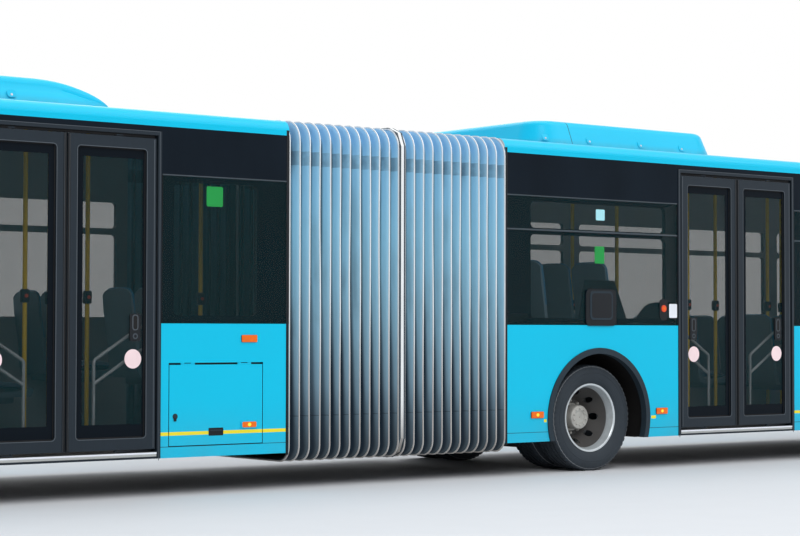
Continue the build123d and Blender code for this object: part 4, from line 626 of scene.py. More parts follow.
class Form:
    """A mesh gathered from several shapes, each with its own finish."""

    def __init__(self, name):
        self.name = name
        self.gathered = bmesh.new()
        self.finishes = []

    def _slot(self, finish):
        if finish not in self.finishes:
            self.finishes.append(finish)
        return self.finishes.index(finish)

    def add(self, shape, finish, matrix=None):
        """Takes in a finished small mesh and frees it."""
        slot = self._slot(finish)
        for face in shape.faces:
            face.material_index = slot
        if matrix is not None:
            shape.transform(matrix)
            if matrix.determinant() < 0:
                bmesh.ops.reverse_faces(shape, faces=shape.faces)
        scratch = bpy.data.meshes.new("scratch")
        shape.to_mesh(scratch)
        shape.free()
        self.gathered.from_mesh(scratch)
        bpy.data.meshes.remove(scratch)

    def box(self, low, high, finish, bevel=0.0, steps=2, matrix=None):
        """A box from corner to corner with rounded edges."""
        shape = bmesh.new()
        size = [b - a for a, b in zip(low, high)]
        centre = [(a + b) / 2 for a, b in zip(low, high)]
        bmesh.ops.create_cube(shape, size=1.0)
        shape.transform(Matrix.Translation(centre) @ Matrix.Diagonal((*size, 1)))
        if bevel:
            bmesh.ops.bevel(shape, geom=shape.edges[:], offset=min(bevel, min(size) * 0.49),
                            segments=steps, profile=0.5, affect="EDGES")
        self.add(shape, finish, matrix)

    def rings(self, rings, finish, closed=False, caps=False, matrix=None):
        """A skin over rows of points; each row is a loop."""
        shape = bmesh.new()
        rows = [[shape.verts.new(p) for p in ring] for ring in rings]
        pairs = list(zip(rows, rows[1:]))
        if closed:
            pairs.append((rows[-1], rows[0]))
        for a, b in pairs:
            for i in range(len(a)):
                j = (i + 1) % len(a)
                shape.faces.new((a[i], a[j], b[j], b[i]))
        if caps:
            shape.faces.new(rows[0][::-1])
            shape.faces.new(rows[-1])
        bmesh.ops.recalc_face_normals(shape, faces=shape.faces)
        self.add(shape, finish, matrix)

    def lathe(self, profile, finish, steps=64, closed=False, matrix=None):
        """Turns (y, radius) points about the Y axis."""
        rings = []
        for y, radius in profile:
            rings.append([(radius * math.cos(a), y, radius * math.sin(a))
                          for a in (math.tau * i / steps for i in range(steps))])
        self.rings(rings, finish, closed=closed, matrix=matrix)

    def tube(self, points, radius, finish, sides=10, matrix=None):
        """A round tube along points, mitred at its bends."""
        path = [Vector(p) for p in points]
        rings = []
        side = Vector((0, 0, 1))
        for i, point in enumerate(path):
            before = (point - path[i - 1]).normalized() if i else None
            after = (path[i + 1] - point).normalized() if i + 1 < len(path) else None
            along = (before or after) + (after or before)
            along.normalize()
            if abs(along.dot(side)) > 0.95:
                side = Vector((1, 0, 0))
            across = along.cross(side).normalized()
            other = across.cross(along).normalized()
            side = other
            rings.append([point + radius * (math.cos(a) * across + math.sin(a) * other)
                          for a in (math.tau * k / sides for k in range(sides))])
        self.rings(rings, finish, caps=True, matrix=matrix)

    def plate(self, outline, thickness, finish, matrix=None):
        """A flat plate from (x, z) points in the XZ plane, thickened along +Y."""
        near = [(x, 0.0, z) for x, z in outline]
        far = [(x, thickness, z) for x, z in outline]
        self.rings([near, far], finish, caps=True, matrix=matrix)

    def done(self, body, smooth_angle=35.0):
        """Makes the object, which rides on a body."""
        mesh = bpy.data.meshes.new(self.name)
        bmesh.ops.remove_doubles(self.gathered, verts=self.gathered.verts, dist=1e-6)
        self.gathered.to_mesh(mesh)
        self.gathered.free()
        for finish in self.finishes:
            mesh.materials.append(MATERIALS[finish])
        mesh.polygons.foreach_set("use_smooth", [True] * len(mesh.polygons))
        mesh.set_sharp_from_angle(angle=math.radians(smooth_angle))
        piece = bpy.data.objects.new(self.name, mesh)
        bpy.context.scene.collection.objects.link(piece)
        if body:
            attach(piece, body)
        return piece


def rounded_outline(centre, size, radius, steps=5):
    """Points of a rounded rectangle, anticlockwise from its right side."""
    points = []
    half_w, half_h = size[0] / 2 - radius, size[1] / 2 - radius
    for turn, (sx, sz) in enumerate(((1, 1), (-1, 1), (-1, -1), (1, -1))):
        for i in range(steps + 1):
            angle = math.pi / 2 * (turn + i / steps)
            points.append((centre[0] + sx * half_w + radius * math.cos(angle),
                           centre[1] + sz * half_h + radius * math.sin(angle)))
    return points


def nose_x(y):
    """How far forward the bowed nose reaches at a distance y from the middle."""
    radius = (HALF_W ** 2 + NOSE_BOW ** 2) / (2 * NOSE_BOW)
    return NOSE_X - radius + math.sqrt(radius ** 2 - y ** 2)


def paint_faces(node, choose):
    """Gives each face of a CAD node the finish that choose(centre, normal) names."""
    mesh = NODES[node].data
    names = []
    indices = []
    for face in mesh.polygons:
        name = choose(face.center, face.normal)
        if name not in names:
            names.append(name)
        indices.append(names.index(name))
    mesh.materials.clear()
    for name in names:
        mesh.materials.append(MATERIALS[name])
    mesh.polygons.foreach_set("material_index", indices)


def paint_node(node, finish):
    """Gives a whole CAD node one finish."""
    paint_faces(node, lambda centre, normal: finish)


def outward(centre, normal, core_z=1.5):
    """Whether a face looks away from the middle line of the body."""
    core = Vector((max(TAIL_X + 1, min(NOSE_X - 1, centre.x)), 0, core_z))
    return (centre - core).dot(normal) > 0


def near_arch(centre):
    """Whether a place lies in the ring of a wheel arch's lip."""
    return any(math.hypot(centre.x - a.x, centre.z - AXLE_Z) < LIP_R + 0.004
               for a in AXLES.values())


def islands(node):
    """Corners of each loose part of a CAD node, as (low, high)."""
    mesh = NODES[node].data
    root = {}

    def find(key):
        while root[key] != key:
            root[key] = root[root[key]]
            key = root[key]
        return key

    keys = [tuple(round(c, 5) for c in vertex.co) for vertex in mesh.vertices]
    for key in keys:
        root.setdefault(key, key)
    for face in mesh.polygons:
        first = find(keys[face.vertices[0]])
        for index in face.vertices[1:]:
            root[find(keys[index])] = first
    groups = {}
    for key in set(keys):
        groups.setdefault(find(key), []).append(key)
    boxes = [(Vector(map(min, zip(*g))), Vector(map(max, zip(*g)))) for g in groups.values()]
    return sorted(boxes, key=lambda b: (round(b[0].x, 3), round(b[0].y, 3), round(b[0].z, 3)))


class DressOperator:
    """What every dressing step shares."""

    bl_options = {"REGISTER", "UNDO"}


class BUS_OT_materials(DressOperator, bpy.types.Operator):
    """Build the finishes that the other steps use"""

    bl_idname = "bus.materials"
    bl_label = "Make Finishes"

    def execute(self, context):
        make_materials(context.scene)
        return {"FINISHED"}


class BUS_OT_panels(DressOperator, bpy.types.Operator):
    """Paint the walls, roofs, covers, nose and tail"""

    bl_idname = "bus.panels"
    bl_label = "Paint Panels"

    def execute(self, context):
        for node, finish in (("front_right_wall", "side_right"), ("rear_right_wall", "side_right"),
                             ("front_left_wall", "side_left"), ("rear_left_wall", "side_left")):
            paint_faces(node, lambda c, n, finish=finish: self.wall(c, n, finish))
        for node in ("front_roof", "rear_roof"):
            paint_faces(node, lambda c, n: "body_paint" if outward(c, n) else "ceiling")
        paint_node("front_roof_pod", "roof_cover")
        self.rear_cover()
        paint_faces("front_mask", self.nose)
        paint_faces("tail_panel", self.tail)
        paint_faces("engine_lid", lambda c, n: "body_paint" if n.x < 0.5 else "underbody")
        paint_faces("service_flap",
                    lambda c, n: "side_right" if c.y < -HALF_W + 0.004 else "underbody")
        return {"FINISHED"}

    def wall(self, centre, normal, finish):
        """Outside, inside and edges of a side wall."""
        if near_arch(centre) and (abs(centre.y) > HALF_W + 0.001 or abs(normal.y) < 0.5):
            return "arch_lip"
        if abs(centre.y) > HALF_W + 0.0005:
            filler = abs(centre.x - MIDDLE_X - 0.01) < 0.19 and 1.26 < centre.z < 1.59
            return "black_plastic" if filler else "door_frame"
        if abs(centre.y) > HALF_W - 0.009:
            return finish
        return "interior_trim" if abs(centre.y) < INNER_W + 0.001 else "door_frame"

    def rear_cover(self):
        """The crowned cover on the rear roof, with its long rounded nose."""
        form = Form("rear_roof_cover")
        low, high = REAR_COVER_LOW, REAR_COVER_HIGH
        back, front = low.x + 0.002, high.x - 0.012
        tail_length, nose_length, steps = 0.09, 0.6, 48
        rings = []
        for k in range(steps + 1):
            share = math.sin(math.pi / 2 * k / steps)
            x = back + (front - back) * share
            rise = min(1.0, (x - back) / tail_length + 0.02) ** 0.5
            fall = max(0.0, (x - (front - nose_length)) / nose_length)
            tall = rise * (0.02 + 0.98 * max(0.0, 1 - fall ** 2) ** 0.62)
            half = (high.y - 0.004) * (1 - 0.05 * fall ** 3) - 0.03 * (1 - rise)
            rings.append(self.cover_ring(x, half, tall * (high.z - low.z - 0.006), low.z))
        form.rings(rings, "roof_cover", caps=True)
        gap = [self.cover_ring(x, half + 0.001, 0.016, low.z - 0.012)
               for x, half in ((back + 0.01, high.y - 0.02), (front - 0.7, high.y - 0.012),
                               (front - 0.02, high.y - 0.06))]
        form.rings(gap, "rubber_seal", caps=True)
        piece = form.done("rear_section", 40)
        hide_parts("rear_roof_pod")

    def cover_ring(self, x, half, tall, foot_z):
        """One section across a roof cover: leaning sides, round shoulders, crowned top."""
        lean = min(0.075, tall * 0.36)
        round_off = min(0.07, tall * 0.45)
        side = [(half, 0.0), (half - lean * 0.55, tall * 0.42)]
        for i in range(7):
            angle = math.pi / 2 * i / 6
            side.append((half - lean - round_off * (1 - math.cos(angle)),
                         tall * 0.93 - round_off + round_off * math.sin(angle)))
        crown = [(half * t, tall * (0.93 + 0.07 * (1 - (t / 0.82) ** 2)))
                 for t in (0.6, 0.36, 0.12)]
        right = [(y, z) for y, z in side if z >= 0] + crown
        points = right + [(-y, z) for y, z in reversed(right)]
        return [(x, y, foot_z + max(0.0, z)) for y, z in points]

    def nose(self, centre, normal):
        """Black round the windscreen, body colour below, trim inside."""
        if not outward(centre, normal):
            return "dash_grey"
        return "body_paint" if centre.z < 1.02 or centre.z > 2.7 else "gloss_black"

    def tail(self, centre, normal):
        """Body colour outside, trim inside."""
        return "body_paint" if outward(centre, normal) else "interior_trim"


class BUS_OT_glazing(DressOperator, bpy.types.Operator):
    """Glaze the windows and lay the thin lines and black masks round them"""

    bl_idname = "bus.glazing"
    bl_label = "Glaze Windows"

    line_width: bpy.props.FloatProperty(
        name="Line width", description="Width of the thin metal line round a pane",
        default=0.009, unit="LENGTH")

    def execute(self, context):
        sections = (("front", "front_section"), ("rear", "rear_section"))
        for section, body in sections:
            paint_faces(f"{section}_glass", self.pane)
            form = Form(f"{section}_window_lines")
            for low, high in islands(f"{section}_glass"):
                if abs(low.y) > HALF_W - 0.02 and high.y - low.y < 0.02:
                    self.lines(form, low, high)
            form.done(body)
        self.masks()
        return {"FINISHED"}

    def pane(self, centre, normal):
        """Clear at the nose and tinted along the sides."""
        return "clear_glass" if centre.x > 8.0 else "window_glass"

    def lines(self, form, low, high):
        """A thin line above and below a pane, and beside it."""
        outer = high.y + 0.0015 if high.y > 0 else low.y - 0.0015
        inner = outer - math.copysign(0.004, outer)
        near, far = sorted((outer, inner))
        width = self.line_width
        if high.z > GLASS_TOP_Z - 0.02:
            form.box((low.x, near, high.z - width), (high.x, far, high.z), "window_line", 0.001)
        if low.z > VENT_Z - 0.02:
            form.box((low.x, near, low.z - 0.004), (high.x, far, low.z + width), "window_line",
                     0.001)
        for edge in (low.x, high.x - 0.004):
            form.box((edge, near, low.z), (edge + 0.004, far, high.z), "rubber_seal", 0.0008)

    def masks(self):
        """The black shapes on the pane over the middle axle, which hide the filler."""
        form = Form("filler_masks")
        base = Matrix.Translation((MIDDLE_X, -HALF_W + 0.0095, 0))
        form.plate([(-0.245, 1.30), (0.35, 1.30), (0.19, 1.66), (-0.165, 1.66)], 0.003,
                   "gloss_black", base)
        curve = [(0.44, 1.30), (0.95, 1.30), (0.95, 1.475), (0.7, 1.475), (0.62, 1.465),
                 (0.56, 1.44), (0.5, 1.385), (0.46, 1.34)]
        form.plate(curve, 0.003, "gloss_black", base)
        form.done("front_section")


class BUS_OT_bellows(DressOperator, bpy.types.Operator):
    """Fold the cloth of the bellows between the two sections"""

    bl_idname = "bus.bellows"
    bl_label = "Fold Bellows"

    def execute(self, context):
        settings = context.scene.bus_bellows
        hoop_low, hoop_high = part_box("middle_hoop")
        spans = (("front", hoop_high.x, FRONT_END_X), ("rear", REAR_END_X, hoop_low.x))
        for name, start, end in spans:
            cloth = self.cloth(name, start, end, settings)
            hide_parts(f"{name}_bellows")
            self.cross_joint(cloth)
            self.cross_joint(self.edging(name, start, end, settings))
        paint_node("middle_hoop", "hoop_strip")
        return {"FINISHED"}

    def cross_joint(self, piece):
        """Bakes a piece's placement into its mesh."""
        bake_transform(piece)

    def loop(self, x, depth, index, steps=7, side_steps=26):
        """One turn of the bellows' section at x, drawn in by depth."""
        top, bottom = BELLOWS_HIGH_Z - depth, BELLOWS_LOW_Z + min(depth, 0.012)
        half = HALF_W - depth
        upper, lower = 0.17 - depth * 0.5, 0.12 - depth * 0.4
        points = []
        corners = ((1, 1, upper), (-1, 1, upper), (-1, -1, lower), (1, -1, lower))
        for turn, (sy, sz, radius) in enumerate(corners):
            cy = sy * (half - radius)
            cz = (top - radius) if sz > 0 else (bottom + radius)
            for i in range(steps + 1):
                angle = math.pi / 2 * (turn + i / steps)
                points.append((cy + radius * math.cos(angle), cz + radius * math.sin(angle)))
        dense = []
        for number, (a, b) in enumerate(zip(points, points[1:] + points[:1])):
            count = side_steps if number % (steps + 1) == steps else 1
            for i in range(count):
                dense.append((a[0] + (b[0] - a[0]) * i / count, a[1] + (b[1] - a[1]) * i / count))
        return [(x + self.sway(index, y, z), y, z) for y, z in dense]

    def sway(self, index, y, z):
        """How far a fold wanders along the bus at a place on its loop."""
        share = (z - BELLOWS_LOW_Z) / (BELLOWS_HIGH_Z - BELLOWS_LOW_Z)
        belly = 4 * share * (1 - share)
        drift = noise.noise((index * 0.83, z * 0.9, math.copysign(2.0, y)))
        return (0.010 * drift + 0.004 * math.sin(index * 1.9)) * belly

    def ease(self, x, start, end):
        """Brings the wander to nothing at the two ends of a half."""
        share = (x - start) / (end - start)
        return min(1.0, 6 * share, 6 * (1 - share))

    def cloth(self, name, start, end, settings):
        """The folded skin of one half."""
        form = Form(f"{name}_bellows_cloth")
        pitch = (end - start) / settings.pleats
        loops = []
        # share of the way along a pleat, and of the fold's depth there
        profile = ((0.0, 0.0), (0.05, 0.05), (0.13, 0.33), (0.25, 0.7), (0.37, 0.92), (0.5, 1.0),
                   (0.63, 0.92), (0.75, 0.7), (0.87, 0.33), (0.95, 0.05))
        shares = []
        for fold in range(settings.pleats):
            for along, share in profile:
                x = start + (fold + along) * pitch
                index = fold + along
                loops.append(self.placed(x, share * settings.depth, index, start, end))
                shares.append(share)
        loops.append(self.placed(end, 0.0, settings.pleats, start, end))
        shares.append(0.0)
        form.rings(loops, "bellows_cloth")
        piece = form.done(None, 60)
        depth = piece.data.attributes.new("fold", "FLOAT", "POINT")
        depth.data.foreach_set("value", [share for share in shares for _ in loops[0]])
        return piece

    def placed(self, x, depth, index, start, end, proud=0.0):
        """A loop whose wander fades towards the ends."""
        ease = self.ease(x, start, end)
        return [(x + (px - x) * ease, y, z)
                for px, y, z in self.loop(x, depth - proud, index)]

    def edging(self, name, start, end, settings):
        """The metal strips clamped on the crests."""
        form = Form(f"{name}_bellows_edging")
        pitch = (end - start) / settings.pleats
        for fold in range(settings.pleats + 1):
            x = start + fold * pitch
            half = 0.0035
            x = min(max(x, start + half), end - half)
            loops = [self.placed(x + dx, 0.0, fold, start, end, proud)
                     for dx, proud in ((-half, -0.004), (-half, 0.006), (half, 0.006),
                                       (half, -0.004))]
            form.rings(loops, "bellows_edging")
        return form.done(None, 40)


class BUS_OT_wheels(DressOperator, bpy.types.Operator):
    """Replace the plain wheels with treaded tyres and bolted discs"""

    bl_idname = "bus.wheels"
    bl_label = "Fit Wheels"

    tyre_width: bpy.props.FloatProperty(
        name="Tyre width", description="Width of one tyre", default=0.275, unit="LENGTH")
    twin_spacing: bpy.props.FloatProperty(
        name="Twin spacing", description="Distance between the middles of twin tyres",
        default=0.335, unit="LENGTH")
    rim_width: bpy.props.FloatProperty(
        name="Rim width", description="Width between a rim's outer faces", default=0.22,
        unit="LENGTH")

    def execute(self, context):
        settings = context.scene.bus_wheels
        for axle in ("front", "middle", "rear"):
            for side_name, side in (("left", 1), ("right", -1)):
                low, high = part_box(f"{axle}_{side_name}_tyre")
                centre = (low + high) / 2
                wheel = f"{axle}_{side_name}_wheel"
                body = NODES[f"{axle}_{side_name}_tyre"]["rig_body"]
                twin = high.y - low.y > 0.4
                offsets = (-self.twin_spacing / 2, self.twin_spacing / 2) if twin else (0.0,)
                tyres = Form(f"{wheel}_tyres")
                rims = Form(f"{wheel}_rims")
                for offset in offsets:
                    self.tyre(tyres, offset, settings)
                    self.barrel(rims, offset)
                self.centre(rims, offsets, twin, settings)
                for form, part in ((tyres, "tyre"), (rims, "rim")):
                    piece = form.done(body)
                    piece.data.transform(Matrix.Diagonal((1, side, 1, 1)))
                    if side < 0:
                        piece.data.flip_normals()
                    piece.matrix_world = Matrix.Translation(centre)
                    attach(piece, body)
                    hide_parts(f"{axle}_{side_name}_{part}")
        return {"FINISHED"}

    def tyre(self, form, offset, settings):
        """Sidewalls, shoulders and a grooved tread."""
        half = self.tyre_width / 2
        # distance from the tyre's middle plane, and radius
        side = [(0.100, 0.290), (0.106, 0.300), (0.118, 0.312), (0.128, 0.335), (0.1345, 0.36),
                (0.1365, 0.385), (0.1345, 0.387), (0.1345, 0.391), (0.1365, 0.393),
                (0.1355, 0.410), (0.132, 0.428), (0.126, 0.442)]
        shoulder = [(0.119, 0.4535), (0.112, 0.459)]
        tread = [(0.078, 0.4605), (0.076, 0.448), (0.066, 0.448), (0.064, 0.4615),
                 (0.034, 0.462), (0.032, 0.4485), (0.022, 0.4485), (0.020, 0.462)]
        one = side + shoulder + tread
        scale = half / 0.1375
        right = [(offset + y * scale, r) for y, r in one]
        left = [(offset - y * scale, r) for y, r in reversed(one)]
        steps = settings.tread_blocks * 4
        rings = []
        for index, (y, radius) in enumerate(right + left):
            ring = []
            from_edge = min(index, len(right + left) - 1 - index)
            for i in range(steps):
                angle = math.tau * i / steps
                notch = i % 4 == 0 and len(side) - 2 <= from_edge <= len(side) + 1
                reach = radius - (0.009 if notch else 0.0)
                ring.append((reach * math.cos(angle), y, reach * math.sin(angle)))
            rings.append(ring)
        form.rings(rings, "tyre_rubber")

    def barrel(self, form, offset):
        """The rolled rim between its two flanges."""
        half = self.rim_width / 2
        # distance from the rim's middle plane, and radius
        outer = [(half, 0.292), (half + 0.001, 0.2975), (half - 0.006, 0.2985),
                 (half - 0.012, 0.290), (half - 0.02, 0.286)]
        inner = [(half - 0.02, 0.279), (half - 0.006, 0.279), (half, 0.285)]
        profile = [(offset + y, r) for y, r in outer]
        profile += [(offset - y, r) for y, r in reversed(outer)]
        profile += [(offset - y, r) for y, r in inner[::-1]]
        profile += [(offset - half + 0.05, 0.266), (offset + half - 0.08, 0.262),
                    (offset + half - 0.045, 0.266)]
        profile += [(offset + y, r) for y, r in inner]
        form.lathe(profile, "rim_silver", 96, closed=True)

    def centre(self, form, offsets, twin, settings):
        """Disc with hand holes, hub, cap and nuts."""
        middle = sum(offsets) / len(offsets)
        disc_y = middle if twin else middle + 0.070
        drop = 0.045 if twin else 0.04
        faces = ((disc_y + 0.012, 1), (disc_y - 0.001, -1)) if twin else ((disc_y + 0.012, 1),)
        edge = 0.262
        for y, sign in faces:
            # a twin wheel's disc goes back to 75 mm behind the rim's face
            rise = -drop
            if twin:
                rise = sign * (self.twin_spacing / 2 + self.rim_width / 2 - 0.075 - 0.012)
                form.lathe([(y, 0.102), (y, 0.162)], "wheel_disc", 48)

            def profile(r, y=y, rise=rise):
                return y + rise * max(0.0, (r - 0.162) / (edge - 0.162)) ** 1.15

            self.holed_disc(form, profile, 0.162 if twin else 0.102, edge, settings.hand_holes)
        hub_face = middle + (self.twin_spacing / 2 + self.rim_width / 2 - 0.132 if twin else 0.135)
        form.lathe([(disc_y - 0.08, 0.106), (hub_face - 0.014, 0.106), (hub_face - 0.004, 0.1),
                    (hub_face, 0.088), (hub_face, 0.058), (hub_face - 0.006, 0.055),
                    (hub_face - 0.006, 0.004)], "hub_metal", 48)
        form.lathe([(disc_y + 0.011, 0.125), (disc_y + 0.03, 0.122), (disc_y + 0.034, 0.104)],
                   "hub_metal", 48)
        for i in range(settings.nuts):
            angle = math.tau * (i + 0.5) / settings.nuts
            place = Matrix.Translation((0.142 * math.cos(angle), disc_y + 0.011,
                                        0.142 * math.sin(angle)))
            self.nut(form, place, 0.015, 0.022)
            place = Matrix.Translation((0.073 * math.cos(angle), hub_face - 0.001,
                                        0.073 * math.sin(angle)))
            self.nut(form, place, 0.0085, 0.009)

    def nut(self, form, matrix, radius, height):
        """A hexagonal nut with a domed end."""
        rings = []
        for y, r in ((0, radius), (height * 0.8, radius), (height, radius * 0.8),
                     (height * 1.25, radius * 0.45), (height * 1.3, radius * 0.1)):
            rings.append([(r * math.cos(math.tau * k / 6), y, r * math.sin(math.tau * k / 6))
                          for k in range(6)])
        form.rings(rings, "hub_metal", caps=True, matrix=matrix)

    def holed_disc(self, form, height, inner, outer, holes):
        """A dished disc with rounded holes, filled between its loops."""
        shape = bmesh.new()
        loops = [[(r * math.cos(math.tau * i / n), r * math.sin(math.tau * i / n))
                  for i in range(n)] for r, n in ((inner, 48), (outer, 64))]
        hole_ring = 0.208
        for k in range(holes):
            angle = math.tau * k / holes
            loop = []
            for i in range(16):
                t = math.tau * i / 16
                along, across = 0.031 * math.cos(t), 0.021 * math.sin(t)
                r = hole_ring + across
                loop.append((r * math.cos(angle) - along * math.sin(angle),
                             r * math.sin(angle) + along * math.cos(angle)))
            loops.append(loop)
        for loop in loops:
            verts = [shape.verts.new((x, 0, z)) for x, z in loop]
            for a, b in zip(verts, verts[1:] + verts[:1]):
                shape.edges.new((a, b))
        bmesh.ops.triangle_fill(shape, use_beauty=True, edges=shape.edges[:])
        for vertex in shape.verts:
            vertex.co.y = height(math.hypot(vertex.co.x, vertex.co.z))
        bmesh.ops.recalc_face_normals(shape, faces=shape.faces)
        form.add(shape, "wheel_disc")


class BUS_OT_doors(DressOperator, bpy.types.Operator):
    """Finish the door leaves, their frames, handles and sills"""

    bl_idname = "bus.doors"
    bl_label = "Finish Doors"

    stile: bpy.props.FloatProperty(
        name="Stile", description="Width of a leaf's upright frame", default=0.08, unit="LENGTH")
    rail: bpy.props.FloatProperty(
        name="Rail", description="Height of a leaf's top and bottom frame", default=0.085,
        unit="LENGTH")
    recess: bpy.props.FloatProperty(
        name="Recess", description="How far a leaf's pane lies behind its frame",
        default=0.022, unit="LENGTH")

    def execute(self, context):
        for door, (rear_x, front_x) in DOORS.items():
            for leaf in ("rear", "front"):
                self.leaf(f"{door}_{leaf}_leaf", -1 if leaf == "rear" else 1)
                paint_node(f"{door}_{leaf}_post", "door_frame")
            self.portal(door, rear_x, front_x)
        return {"FINISHED"}

    def leaf(self, node, outer_sign):
        """Frame and glass of one leaf, with its black print, seals and grip."""
        low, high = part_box(node)
        glass_low = (low.x + self.stile, low.z + self.rail)
        glass_high = (high.x - self.stile, high.z - self.rail)
        edge_x = glass_low[0] if outer_sign < 0 else glass_high[0]
        grip_x = edge_x - outer_sign * 0.085
        front_y = -HALF_W
        pane_y = front_y + self.recess

        def choose(centre, normal):
            if centre.y > front_y + 0.045:
                return "bright_rail"
            near_grip = abs(centre.x - grip_x) < 0.046 and abs(centre.z - 1.24) < 0.101
            if near_grip and centre.y < pane_y - 0.0005:
                return "black_plastic"
            inside = (glass_low[0] - 0.001 < centre.x < glass_high[0] + 0.001
                      and glass_low[1] - 0.001 < centre.z < glass_high[1] + 0.001)
            if inside and centre.y > pane_y - 0.001 and abs(normal.y) > 0.5:
                return "door_glass"
            return "door_frame"

        paint_faces(node, choose)
        form = Form(f"{node}_fittings")
        self.print_border(form, glass_low, glass_high, pane_y, outer_sign)
        self.seal(form, glass_low, glass_high, pane_y, front_y)
        self.edges(form, low, high, front_y, outer_sign)
        self.grip(form, grip_x, front_y + 0.008, pane_y, -outer_sign)
        form.done(NODES[node]["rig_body"])

    def print_border(self, form, glass_low, glass_high, pane_y, outer_sign):
        """The black print round the edge of the glass."""
        (x0, z0), (x1, z1) = glass_low, glass_high
        left, right = (0.02, 0.055) if outer_sign < 0 else (0.055, 0.02)
        near, far = pane_y - 0.0012, pane_y + 0.0004
        for a, b in (((x0, z0), (x1, z0 + 0.1)), ((x0, z1 - 0.07), (x1, z1)),
                     ((x0, z0 + 0.1), (x0 + left, z1 - 0.07)),
                     ((x1 - right, z0 + 0.1), (x1, z1 - 0.07))):
            form.box((a[0], near, a[1]), (b[0], far, b[1]), "gloss_black", 0.0004, 1)

    def seal(self, form, glass_low, glass_high, pane_y, front_y):
        """A rubber strip all round the glass, and a painted highlight along the inner edge of the
        frame.
        """
        width, near, far = 0.009, pane_y - 0.006, pane_y + 0.001
        (x0, z0), (x1, z1) = glass_low, glass_high
        for a, b in (((x0, z0), (x1, z0 + width)), ((x0, z1 - width), (x1, z1)),
                     ((x0, z0), (x0 + width, z1)), ((x1 - width, z0), (x1, z1))):
            form.box((a[0], near, a[1]), (b[0], far, b[1]), "rubber_seal", 0.0015)
        # painted highlight: a thin lighter ring round the frame's inner edge
        outer = rounded_outline(((x0 + x1) / 2, (z0 + z1) / 2),
                                (x1 - x0 + 0.012, z1 - z0 + 0.012), 0.031)
        inner = rounded_outline(((x0 + x1) / 2, (z0 + z1) / 2), (x1 - x0, z1 - z0), 0.025)
        rings = [[(x, y, z) for x, z in line]
                 for line, y in ((outer, front_y + 0.002), (outer, front_y - 0.0015),
                                 (inner, front_y - 0.0015), (inner, front_y + 0.002))]
        form.rings(rings, "frame_edge", closed=True)

    def edges(self, form, low, high, front_y, outer_sign):
        """Rubber lips and a thin painted highlight line on the meeting edge, and a painted
        highlight line along the hung one.
        """
        hung, meeting = (low.x, high.x) if outer_sign < 0 else (high.x, low.x)
        # the last lip is a painted highlight line
        lips = ((0.002, 0.010, "rubber_seal"), (0.018, 0.004, "rubber_seal"),
                (0.014, 0.003, "frame_edge"))
        for inset, width, finish in lips:
            a, b = sorted((meeting + outer_sign * inset, meeting + outer_sign * (inset + width)))
            form.box((a, front_y - 0.003, low.z + 0.004), (b, front_y + 0.006, high.z - 0.004),
                     finish, 0.0012)
        # painted highlight line along the hung edge
        a, b = sorted((hung - outer_sign * 0.012, hung - outer_sign * 0.018))
        form.box((a, front_y - 0.0015, low.z + 0.01), (b, front_y + 0.003, high.z - 0.01),
                 "frame_edge", 0.001)

    def grip(self, form, x, face_y, pane_y, inward):
        """The slot with a painted highlight round its edge and the button on the black grip, and a
        blank round label.
        """
        slot_z, button_z, label_z = 1.275, 1.175, 1.01
        ring = rounded_outline((x, slot_z), (0.05, 0.115), 0.022)
        core = rounded_outline((x, slot_z), (0.034, 0.1), 0.015)
        # painted highlight: the lighter ring round the slot
        form.plate(ring, 0.003, "frame_edge", Matrix.Translation((0, face_y - 0.0015, 0)))
        form.plate(core, 0.003, "rubber_seal", Matrix.Translation((0, face_y - 0.0025, 0)))
        button = rounded_outline((x, button_z), (0.042, 0.042), 0.0205)
        form.plate(button, 0.004, "window_line", Matrix.Translation((0, face_y - 0.0025, 0)))
        inner = rounded_outline((x, button_z), (0.024, 0.024), 0.0115)
        form.plate(inner, 0.002, "black_plastic", Matrix.Translation((0, face_y - 0.0035, 0)))
        label = rounded_outline((x + inward * 0.012, label_z), (0.14, 0.14), 0.0698, 10)
        form.plate(label, 0.001, "label_pink", Matrix.Translation((0, pane_y - 0.0026, 0)))

    def portal(self, door, rear_x, front_x):
        """The bright sill of a doorway, the brush over the leaves, and painted highlight lines on
        the frame's edges.
        """
        form = Form(f"{door}_portal")
        out, back = -HALF_W - 0.006, -HALF_W + 0.004
        form.box((rear_x - 0.012, out, 0.296), (front_x + 0.012, back, 0.32), "sill_grey", 0.003)
        form.box((rear_x - 0.012, out - 0.002, 0.314), (front_x + 0.012, back, 0.327),
                 "label_white", 0.002)
        form.box((rear_x + 0.004, -HALF_W + 0.012, 2.6295),
                 (front_x - 0.004, -HALF_W + 0.03, 2.651), "rubber_seal", 0.002)
        # painted highlight lines up both sides of the doorway and across its top
        for x in (rear_x - 0.032, front_x + 0.028):
            form.box((x, out - 0.001, SKIRT_Z), (x + 0.004, out + 0.004, 2.678), "frame_edge",
                     0.001)
        form.box((rear_x - 0.03, out - 0.001, 2.674), (front_x + 0.03, out + 0.004, 2.678),
                 "frame_edge", 0.001)
        form.done(DOOR_SECTION[door])


